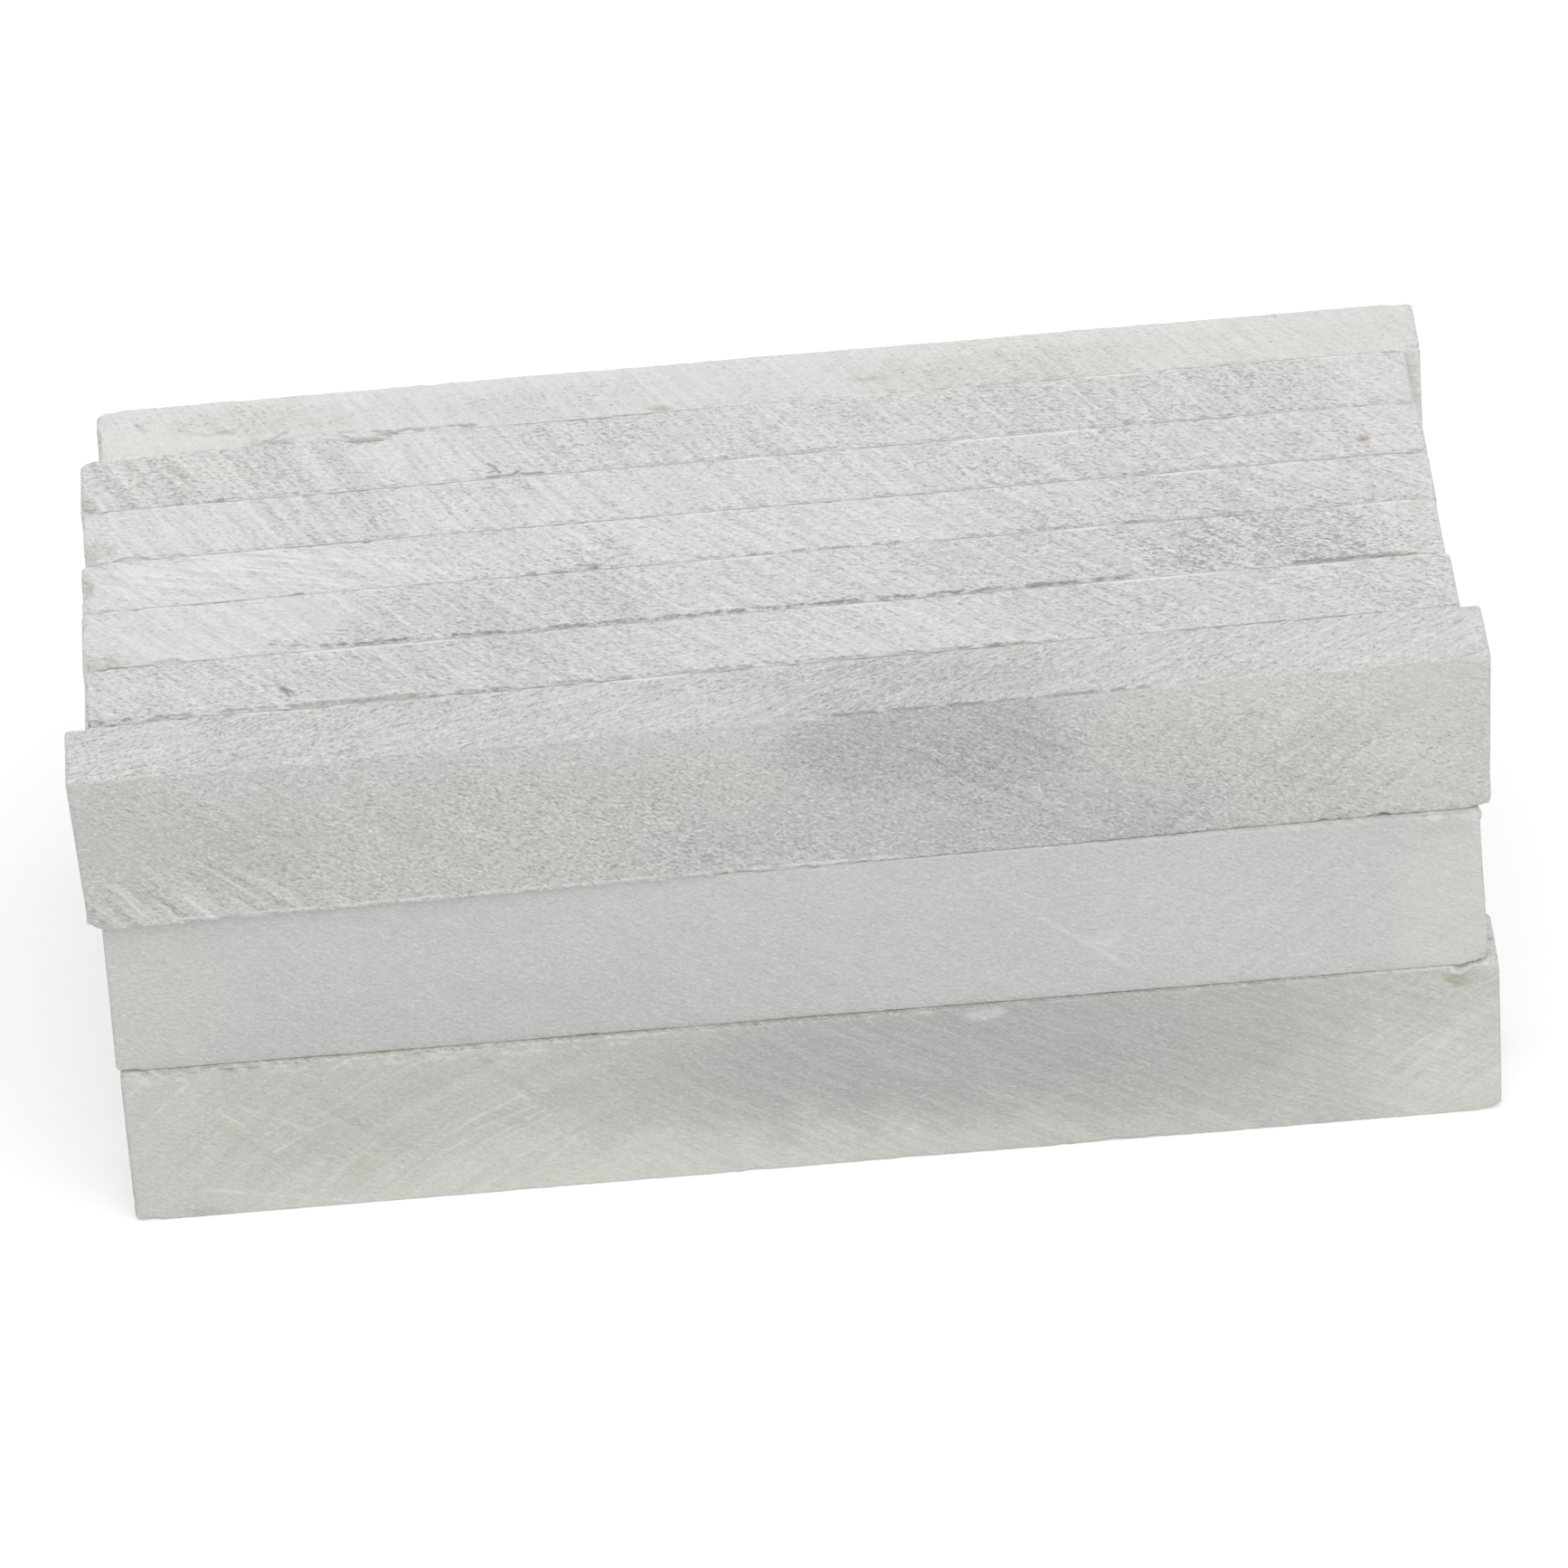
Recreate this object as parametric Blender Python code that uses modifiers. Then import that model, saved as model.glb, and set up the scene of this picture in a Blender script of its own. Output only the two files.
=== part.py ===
"""Block of loose sawn soapstone chalk sticks, stacked three high and seven deep.

Run it with blender --background --python part.py, or from Blender's text editor.
Lengths are in metres. +X runs along the sticks, +Y from the front row to the back row, +Z up.
The origin is under the middle of the block, on the surface that it stands on.
"""

import itertools
import math
import random
from dataclasses import dataclass

import bmesh
import bpy
from mathutils import Matrix, Vector

MM = 0.001

# Driving dimensions of the stack
LAYERS = ("bottom", "middle", "top")
STICK_HEIGHT = 9.8 * MM
GAP = 0.3 * MM
FRONT_ROW_GAP = 0.4 * MM
EDGE_ROUND = 0.25 * MM
EDGE_SEGMENTS = 2
SCOOP_FACETS = 2

# Sticks that are hidden inside the block: what their sizes are drawn from
HIDDEN_SEED = 21
HIDDEN_LEFT = (-37.4 * MM, -36.9 * MM)
HIDDEN_RIGHT = (36.7 * MM, 37.2 * MM)
HIDDEN_THINNER = (0.0, 0.25 * MM)
HIDDEN_CHIPS = 3
HIDDEN_CHIP = (0.4 * MM, 1.6 * MM)

# Finish of the stone
ROUGHNESS = 0.75
PALE_STONE = (0.67, 0.67, 0.67, 1.0)
WARM_STONE = (0.71, 0.70, 0.68, 1.0)
GREY_STONE = (0.58, 0.59, 0.57, 1.0)
GREEN_STONE = (0.56, 0.57, 0.53, 1.0)

# Which way a corner or an edge lies from the middle of its stick
LEFT, RIGHT = -1, 1
FRONT, BACK = -1, 1
BOTTOM, TOP = -1, 1


@dataclass(frozen=True)
class BrokenCorner:
    """A corner lost along one flat break, given by how far it reaches along the three edges."""

    end: int
    side: int
    level: int
    along: float
    across: float
    down: float


@dataclass(frozen=True)
class EdgeScoop:
    """A shell-shaped chip out of a long edge, at a distance from the middle of the stick."""

    x: float
    side: int
    level: int
    length: float
    depth: float


@dataclass(frozen=True)
class Stick:
    """One sawn stick: its ends along X, its thickness along Y and how it lies in its row."""

    left: float
    right: float
    thickness: float
    yaw: float = 0.0
    forward: float = 0.0
    left_lean: float = 0.0
    right_lean: float = 0.0
    colour: tuple = GREY_STONE
    chips: tuple = ()


# The seven sticks of the top layer, front to back. A lean is how far the foot of an end stands out.
TOP_STICKS = (
    Stick(-38.4 * MM, 38.3 * MM, 4.9 * MM, yaw=0.37, left_lean=-0.3 * MM, right_lean=-0.3 * MM,
          chips=(BrokenCorner(LEFT, FRONT, BOTTOM, 0.7 * MM, 1.2 * MM, 0.6 * MM),
                 BrokenCorner(RIGHT, FRONT, BOTTOM, 0.6 * MM, 1.2 * MM, 0.6 * MM),
                 EdgeScoop(1.5 * MM, FRONT, TOP, 2.4 * MM, 0.4 * MM))),
    Stick(-37.3 * MM, 37.2 * MM, 4.9 * MM, yaw=0.2, colour=PALE_STONE,
          chips=(BrokenCorner(LEFT, FRONT, TOP, 0.5 * MM, 0.7 * MM, 0.5 * MM),
                 EdgeScoop(-34.0 * MM, FRONT, TOP, 3.4 * MM, 0.5 * MM))),
    Stick(-37.4 * MM, 37.0 * MM, 5.1 * MM, yaw=0.05, colour=PALE_STONE,
          chips=(BrokenCorner(LEFT, FRONT, TOP, 0.9 * MM, 0.9 * MM, 0.7 * MM),
                 BrokenCorner(RIGHT, FRONT, TOP, 5.2 * MM, 1.0 * MM, 0.8 * MM),
                 EdgeScoop(-32.7 * MM, FRONT, TOP, 1.8 * MM, 0.5 * MM))),
    Stick(-37.4 * MM, 37.1 * MM, 4.4 * MM, colour=PALE_STONE,
          chips=(BrokenCorner(LEFT, FRONT, TOP, 0.8 * MM, 1.7 * MM, 0.8 * MM),
                 EdgeScoop(35.4 * MM, FRONT, TOP, 3.0 * MM, 0.4 * MM))),
    Stick(-37.3 * MM, 37.1 * MM, 4.7 * MM, yaw=-0.1, colour=PALE_STONE,
          chips=(BrokenCorner(LEFT, FRONT, TOP, 0.9 * MM, 1.9 * MM, 1.0 * MM),
                 EdgeScoop(-34.6 * MM, FRONT, TOP, 2.2 * MM, 0.4 * MM))),
    Stick(-37.4 * MM, 36.9 * MM, 5.0 * MM, yaw=-0.15, colour=PALE_STONE,
          chips=(BrokenCorner(LEFT, BACK, TOP, 1.0 * MM, 0.7 * MM, 0.6 * MM),
                 BrokenCorner(LEFT, FRONT, TOP, 0.8 * MM, 0.6 * MM, 0.5 * MM),
                 EdgeScoop(-21.3 * MM, BACK, TOP, 3.0 * MM, 0.6 * MM))),
    Stick(-36.5 * MM, 37.8 * MM, 4.6 * MM, yaw=-0.2, colour=WARM_STONE,
          chips=(BrokenCorner(LEFT, FRONT, TOP, 13.0 * MM, 3.1 * MM, 0.7 * MM),
                 BrokenCorner(LEFT, BACK, TOP, 0.7 * MM, 0.7 * MM, 0.5 * MM),
                 BrokenCorner(RIGHT, FRONT, TOP, 0.5 * MM, 0.6 * MM, 0.6 * MM),
                 EdgeScoop(-24.5 * MM, FRONT, TOP, 4.5 * MM, 0.7 * MM))),
)

# The two sticks under the front stick, which show from the front
MIDDLE_FRONT = Stick(
    -37.4 * MM, 37.4 * MM, 4.4 * MM, yaw=-0.54, forward=0.18 * MM, left_lean=0.2 * MM, right_lean=0.3 * MM,
    chips=(BrokenCorner(RIGHT, FRONT, BOTTOM, 0.9 * MM, 1.5 * MM, 0.9 * MM),
           BrokenCorner(RIGHT, FRONT, TOP, 1.6 * MM, 0.4 * MM, 0.5 * MM),
           EdgeScoop(35.0 * MM, FRONT, TOP, 1.6 * MM, 0.5 * MM)))
BOTTOM_FRONT = Stick(
    -37.4 * MM, 38.2 * MM, 4.9 * MM, yaw=-0.33, forward=0.29 * MM, left_lean=0.1 * MM, right_lean=-0.1 * MM,
    colour=GREEN_STONE,
    chips=(BrokenCorner(RIGHT, FRONT, BOTTOM, 0.9 * MM, 1.2 * MM, 0.5 * MM),
           BrokenCorner(RIGHT, FRONT, TOP, 0.8 * MM, 1.4 * MM, 0.6 * MM),
           EdgeScoop(36.0 * MM, FRONT, TOP, 1.4 * MM, 0.7 * MM),
           EdgeScoop(-30.0 * MM, FRONT, TOP, 9.0 * MM, 0.3 * MM),
           EdgeScoop(-19.0 * MM, FRONT, TOP, 7.0 * MM, 0.3 * MM)))


def hidden_stick(above: Stick, colour: tuple, draw: random.Random) -> Stick:
    """A stick under the top layer, lying in the same row as the stick above it."""
    corners = list(itertools.product((LEFT, RIGHT), (FRONT, BACK), (BOTTOM, TOP)))
    chips = []
    for corner in draw.sample(corners, HIDDEN_CHIPS):
        reach = [draw.uniform(*HIDDEN_CHIP) for _ in range(3)]
        chips.append(BrokenCorner(*corner, *reach))
    return Stick(draw.uniform(*HIDDEN_LEFT), draw.uniform(*HIDDEN_RIGHT),
                 above.thickness - draw.uniform(*HIDDEN_THINNER), above.yaw,
                 colour=colour, chips=tuple(chips))


def stack_plan() -> list:
    """The sticks of each row, front to back, each row listed from the bottom layer to the top layer."""
    draw = random.Random(HIDDEN_SEED)
    rows = [[BOTTOM_FRONT, MIDDLE_FRONT, TOP_STICKS[0]]]
    for top in TOP_STICKS[1:]:
        rows.append([hidden_stick(top, GREEN_STONE, draw), hidden_stick(top, GREY_STONE, draw), top])
    return rows


def row_centres(rows: list) -> list:
    """Where the middle of each row lies along Y, with the front of the top layer at zero."""
    centres = []
    front = 0.0
    for row in rows:
        thickness = row[-1].thickness
        centres.append(front + thickness / 2)
        front += thickness + (GAP if len(centres) > 1 else FRONT_ROW_GAP)
    return centres


def stone(name: str, colour: tuple) -> bpy.types.Material:
    """A dry, matt stone surface."""
    material = bpy.data.materials.new(name)
    material.use_nodes = True
    shader = material.node_tree.nodes["Principled BSDF"]
    shader.inputs["Base Color"].default_value = colour
    shader.inputs["Roughness"].default_value = ROUGHNESS
    shader.inputs["Metallic"].default_value = 0.0
    return material


def new_object(name: str, bm: bmesh.types.BMesh, collection: bpy.types.Collection) -> bpy.types.Object:
    """Turn a bmesh into an object in a collection."""
    mesh = bpy.data.meshes.new(name)
    bm.to_mesh(mesh)
    bm.free()
    obj = bpy.data.objects.new(name, mesh)
    collection.objects.link(obj)
    return obj


def stick_blank(name: str, stick: Stick, collection: bpy.types.Collection) -> bpy.types.Object:
    """A sawn stick about its own middle, with leaning ends and worn edges."""
    bm = bmesh.new()
    bmesh.ops.create_cube(bm, size=1.0)
    bmesh.ops.scale(bm, vec=(stick.right - stick.left, stick.thickness, STICK_HEIGHT), verts=bm.verts)
    for vert in bm.verts:
        if vert.co.z < 0:
            vert.co.x += stick.right_lean if vert.co.x > 0 else -stick.left_lean
    obj = new_object(name, bm, collection)
    worn = obj.modifiers.new("worn_edges", "BEVEL")
    worn.width = EDGE_ROUND
    worn.segments = EDGE_SEGMENTS
    return obj


def corner_cutter(stick: Stick, chip: BrokenCorner) -> bmesh.types.BMesh:
    """A block whose inner face is the plane of the break."""
    lean = (stick.right_lean if chip.end == RIGHT else stick.left_lean) if chip.level == BOTTOM else 0.0
    corner = Vector((chip.end * ((stick.right - stick.left) / 2 + lean),
                     chip.side * stick.thickness / 2, chip.level * STICK_HEIGHT / 2))
    reach = Vector((chip.along, chip.across, chip.down))
    normal = Vector((chip.end / reach.x, chip.side / reach.y, chip.level / reach.z)).normalized()
    middle = corner - Vector((chip.end * reach.x, chip.side * reach.y, chip.level * reach.z)) / 3
    size = 3 * max(reach)
    bm = bmesh.new()
    bmesh.ops.create_cube(bm, size=size)
    turn = normal.to_track_quat("Z", "Y").to_matrix().to_4x4()
    bmesh.ops.transform(bm, verts=bm.verts, matrix=Matrix.Translation(middle + normal * size / 2) @ turn)
    return bm


def scoop_cutter(stick: Stick, chip: EdgeScoop) -> bmesh.types.BMesh:
    """A long faceted lump on the edge, turned its own way, which leaves a broken hollow."""
    bm = bmesh.new()
    bmesh.ops.create_icosphere(bm, subdivisions=SCOOP_FACETS, radius=1.0)
    turn = Matrix.Rotation(chip.x / MM, 3, "X") @ Matrix.Rotation(chip.length / MM, 3, "Y")
    bmesh.ops.rotate(bm, matrix=turn, verts=bm.verts)
    bmesh.ops.scale(bm, vec=(chip.length / 2, chip.depth, chip.depth), verts=bm.verts)
    middle = Vector((chip.x - (stick.left + stick.right) / 2,
                     chip.side * stick.thickness / 2, chip.level * STICK_HEIGHT / 2))
    bmesh.ops.translate(bm, vec=middle, verts=bm.verts)
    return bm


def chip_stick(obj: bpy.types.Object, stick: Stick, cutters: bpy.types.Collection) -> None:
    """Cut every chip of a stick out of its blank."""
    for number, chip in enumerate(stick.chips, 1):
        shape = corner_cutter(stick, chip) if isinstance(chip, BrokenCorner) else scoop_cutter(stick, chip)
        cutter = new_object(f"{obj.name}_chip_{number}", shape, cutters)
        cutter.parent = obj
        cutter.hide_render = True
        cutter.display_type = "WIRE"
        cut = obj.modifiers.new(cutter.name, "BOOLEAN")
        cut.operation = "DIFFERENCE"
        cut.solver = "EXACT"
        cut.object = cutter


def main() -> None:
    """Build the stack and stand it on its origin."""
    for old in list(bpy.data.objects):
        bpy.data.objects.remove(old)
    block = bpy.data.collections.new("stone_chalk_block")
    cutters = bpy.data.collections.new("chip_cutters")
    for collection in (block, cutters):
        bpy.context.scene.collection.children.link(collection)
    origin = bpy.data.objects.new("block_origin", None)
    block.objects.link(origin)

    rows = stack_plan()
    for number, (row, centre) in enumerate(zip(rows, row_centres(rows)), 1):
        for level, (layer, stick) in enumerate(zip(LAYERS, row)):
            name = f"{layer}_stick_{number}"
            obj = stick_blank(name, stick, block)
            obj.data.materials.append(stone(name + "_stone", stick.colour))
            obj.location = ((stick.left + stick.right) / 2, centre - stick.forward,
                            level * (STICK_HEIGHT + GAP) + STICK_HEIGHT / 2)
            obj.rotation_euler.z = math.radians(stick.yaw)
            obj.parent = origin
            chip_stick(obj, stick, cutters)

    # Stand the block centrally over the origin.
    bpy.context.view_layer.update()
    sticks = [obj for obj in block.objects if obj.type == "MESH"]
    for axis in (0, 1):
        places = [(obj.matrix_world @ Vector(corner))[axis] for obj in sticks for corner in obj.bound_box]
        origin.location[axis] = -(min(places) + max(places)) / 2
    bpy.context.view_layer.update()


main()
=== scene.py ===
"""Looks of a block of loose sawn soapstone chalk sticks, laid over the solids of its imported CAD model.

Every stick gets a fine mesh that is laid onto its own CAD solid and then worn: saw waviness, crumbled
edges, flake scars and pits. Its finishes are node materials for the narrow sawn faces, the wide sawn
faces and the ends. Lengths are in millimetres, apart from the studio's floor and lamp, and Blender gets
metres.
"""

import itertools
import logging
import math
from dataclasses import dataclass, field
from enum import Enum

import bpy
import numpy as np
from mathutils import Matrix, Vector
from mathutils.bvhtree import BVHTree

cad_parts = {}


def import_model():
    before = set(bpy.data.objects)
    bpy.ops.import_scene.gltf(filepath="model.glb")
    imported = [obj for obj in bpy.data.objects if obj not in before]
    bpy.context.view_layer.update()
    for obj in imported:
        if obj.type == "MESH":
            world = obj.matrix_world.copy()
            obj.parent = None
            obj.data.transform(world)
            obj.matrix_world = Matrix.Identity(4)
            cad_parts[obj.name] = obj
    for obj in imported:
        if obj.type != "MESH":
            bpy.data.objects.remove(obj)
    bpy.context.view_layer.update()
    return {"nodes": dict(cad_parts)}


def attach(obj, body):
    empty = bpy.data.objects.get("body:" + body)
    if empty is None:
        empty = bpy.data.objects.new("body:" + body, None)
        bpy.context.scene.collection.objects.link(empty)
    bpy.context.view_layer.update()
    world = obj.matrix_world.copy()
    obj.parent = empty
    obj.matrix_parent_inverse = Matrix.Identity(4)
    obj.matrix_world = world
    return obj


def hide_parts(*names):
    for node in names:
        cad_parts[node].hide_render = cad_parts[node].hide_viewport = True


log = logging.getLogger("chalk_block")

MM = 0.001

Pair = tuple[float, float]
Triple = tuple[float, float, float]
Socket = bpy.types.NodeSocket
Feed = Socket | float | Triple
Feeds = dict[str | int, Feed]


class Layer(Enum):
    """The three layers of the block."""

    BOTTOM = "bottom"
    MIDDLE = "middle"
    TOP = "top"


class Slot(Enum):
    """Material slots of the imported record."""

    PALE = "pale_stone"
    WARM = "warm_stone"
    GREY = "grey_stone"
    GREEN = "green_stone"


class Cut(Enum):
    """Kinds of sawn face on a stick; the value is the material's place on the mesh."""

    NARROW = 0
    WIDE = 1
    END = 2


class Edge(Enum):
    """Long edges of a stick, as the signs of Y and Z on them."""

    FRONT_TOP = (-1, 1)
    BACK_TOP = (1, 1)
    FRONT_BOTTOM = (-1, -1)
    BACK_BOTTOM = (1, -1)


@dataclass(frozen=True)
class Cloud:
    """A patch with another colour or a more open grain; most are the stone's own tone, and some are painted
    light.

    at and reach are measured from the middle of the stick; share is how far the colour goes over, and
    lean slants the patch along the stick.
    """

    at: Triple
    reach: Triple
    colour: Triple
    share: float = 0.6
    openness: float = 0.0
    ragged: float = 1.2
    softness: float = 0.4
    lean: float = 0.0


@dataclass(frozen=True)
class SawSet:
    """One set of saw marks: arcs round a centre, so that a far centre gives straight lines."""

    centre: Triple
    pitch: float = 0.30
    reach: float = 8.0
    light: float = 0.05
    scores: float = 0.22
    where: tuple[Triple, Triple] | None = None


@dataclass(frozen=True)
class ScoreLine:
    """One scratch or crack between two points, measured from the middle of the stick.

    light below 0 darkens it; ragged makes it wander, and gaps above 0.5 leave more of it out.
    """

    start: Triple
    finish: Triple
    width: float = 0.12
    light: float = 0.35
    ragged: float = 0.0
    gaps: float = 0.46


@dataclass(frozen=True)
class Face:
    """A flat face of a stick, on which marks are placed by two of the stick's axes.

    axis stands out of the face, level is where the face cuts it, and depth is how far a cloud reaches
    along it.
    """

    axis: int
    level: float
    depth: float = 3.0

    STROKE_RAGGED = 0.12
    STROKE_GAPS = 0.42

    def whole(self, pair: Pair, out: float) -> Triple:
        """Returns a pair with its third number put in, the one along the axis."""
        return (*pair[:self.axis], out, *pair[self.axis:])

    def cloud(self, at: Pair, reach: Pair, *looks: Triple | float, **more: float) -> Cloud:
        """Returns a cloud on the face; looks and more are the other fields of a Cloud."""
        return Cloud(*self.area(at, reach), *looks, **more)

    def area(self, at: Pair, reach: Pair) -> tuple[Triple, Triple]:
        """Returns the middle and the reach of a part of the face."""
        return self.whole(at, self.level), self.whole(reach, self.depth)

    def score(self, start: Pair, finish: Pair, *looks: float) -> ScoreLine:
        """Returns a line on the face; looks are the other fields of a ScoreLine."""
        return ScoreLine(self.whole(start, self.level), self.whole(finish, self.level), *looks)

    def crack(self, *corners: Pair, width: float = 0.20, light: float = -0.85, ragged: float = 0.2,
              gaps: float = 0.25) -> tuple[ScoreLine, ...]:
        """Draws a bent crack.

        Args:
            corners: its ends and bends.
            width: half its width.
            light: how dark it is, below 0, or how light.
            ragged: how far it wanders.
            gaps: how much of it is left out.

        Returns:
            One line for each straight part.
        """
        parts = itertools.pairwise(corners)
        return tuple(self.score(start, finish, width, light, ragged, gaps) for start, finish in parts)

    def strokes(self, *pairs: tuple[Pair, Pair], width: float = 0.16,
                light: float = 0.32) -> tuple[ScoreLine, ...]:
        """Draws single saw strokes.

        Args:
            pairs: both ends of each stroke.
            width: half their width.
            light: how light they are, or how dark below 0.

        Returns:
            One line for each stroke.
        """
        looks = (width, light, self.STROKE_RAGGED, self.STROKE_GAPS)
        return tuple(self.score(start, finish, *looks) for start, finish in pairs)


@dataclass(frozen=True)
class StoneFinish:
    """How one sawn face looks: its colour, grain, saw marks and clouds.

    spread is how far the tone differs from one stick to the next.
    """

    name: str
    colour: Triple
    grain: float = 0.18
    tone: float = 0.49
    openness: float = 0.0
    pit_dark: float = 0.35
    fleck_light: float = 0.28
    patchy: float = 1.6
    way: Triple = (0.81, -0.58, 0.0)
    mottle: float = 0.04
    relief: float = 0.06
    spread: float = 0.0
    roughness: float = 0.72
    saws: tuple[SawSet, ...] = ()
    clouds: tuple[Cloud, ...] = ()
    lines: tuple[ScoreLine, ...] = ()


@dataclass(frozen=True)
class Scar:
    """A flake or pit broken out of a stick: its middle, its reach and its depth.

    Its dirt darkens its floor with dust and painted shade, and its brink darkens its outline with dust and
    the painted shadow of its step; lip is how wide its sloping side is.
    """

    at: Triple
    reach: Triple
    depth: float
    grime: float = 0.0
    ragged: float = 0.3
    brink: float = 0.0
    lip: float = 0.4


@dataclass(frozen=True)
class EdgeWear:
    """How a long edge has worn, with painted shade and a painted highlight along it.

    Its dirt darkens the chips with dust and with painted shade where they lie in the seams between sticks,
    up to darkest; rim is a pale line along the edge, worn whitening with a painted highlight; and worse lists
    stretches as from, to and how many times. slack is what stays open to the next stick at the left and the
    right end.
    """

    crumbs: float = 0.20
    grime: float = 0.0
    rim: float = 0.0
    worse: tuple[Triple, ...] = ()
    slack: Pair = (0.02, 0.02)
    darkest: float = 0.28


class Wiring:
    """Short calls that add and link the nodes of one tree."""

    def __init__(self, tree: bpy.types.NodeTree) -> None:
        """Takes the tree and clears it.

        Args:
            tree: the node tree of a material or a group.
        """
        self.tree = tree
        self.tree.nodes.clear()

    def node(self, kind: str, feeds: Feeds | None = None, **settings: object) -> bpy.types.Node:
        """Adds a node.

        Args:
            kind: the node's class name.
            feeds: what goes into its inputs, as sockets to link or as plain values.
            settings: other properties of the node.

        Returns:
            The new node.
        """
        made = self.tree.nodes.new(kind)
        for key, value in settings.items():
            setattr(made, key, value)
        for key, value in (feeds or {}).items():
            self.feed(made.inputs[key], value)
        return made

    def feed(self, target: Socket, value: Feed) -> None:
        """Links a socket to an input, or sets the input's value.

        Args:
            target: the input.
            value: a socket, a number or three numbers.
        """
        if isinstance(value, bpy.types.NodeSocket):
            self.tree.links.new(value, target)
        elif isinstance(value, tuple) and target.type == "RGBA":
            target.default_value = (*value, 1.0)
        else:
            target.default_value = value

    def math(self, operation: str, *feeds: Feed) -> Socket:
        """Returns the result of a Math node on the given feeds."""
        return self.node("ShaderNodeMath", dict(enumerate(feeds)), operation=operation).outputs[0]

    def vector(self, operation: str, *feeds: Feed) -> Socket:
        """Returns the vector result of a Vector Math node on the given feeds."""
        return self.node("ShaderNodeVectorMath", dict(enumerate(feeds)), operation=operation).outputs[0]

    def measured(self, operation: str, *feeds: Feed) -> Socket:
        """Returns the number that a Vector Math node gives, such as a length or a dot product."""
        return self.node("ShaderNodeVectorMath", dict(enumerate(feeds)), operation=operation).outputs["Value"]

    def scaled(self, place: Feed, by: Feed) -> Socket:
        """Returns a vector, or a colour, times a number."""
        return self.node("ShaderNodeVectorMath", {0: place, "Scale": by}, operation="SCALE").outputs[0]

    def noise(self, place: Feed, scale: float = 1.0, detail: float = 2.0,
              rough: float = 0.5) -> bpy.types.Node:
        """Returns a Noise Texture node at a place."""
        feeds = {"Vector": place, "Scale": scale, "Detail": detail, "Roughness": rough}
        return self.node("ShaderNodeTexNoise", feeds)

    def step(self, value: Feed, low: Feed, high: Feed) -> Socket:
        """Returns a smooth step of the value from 0 at low to 1 at high."""
        feeds = {0: value, 1: low, 2: high}
        return self.node("ShaderNodeMapRange", feeds, interpolation_type="SMOOTHSTEP").outputs[0]

    def mixed(self, share: Feed, first: Feed, second: Feed) -> Socket:
        """Returns a colour between two colours."""
        feeds = {0: share, 6: first, 7: second}
        return self.node("ShaderNodeMix", feeds, data_type="RGBA").outputs[2]

    def group(self, tree: bpy.types.NodeTree, feeds: Feeds) -> bpy.types.Node:
        """Returns a node that places a group with its own values."""
        return self.node("ShaderNodeGroup", feeds, node_tree=tree)


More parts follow.
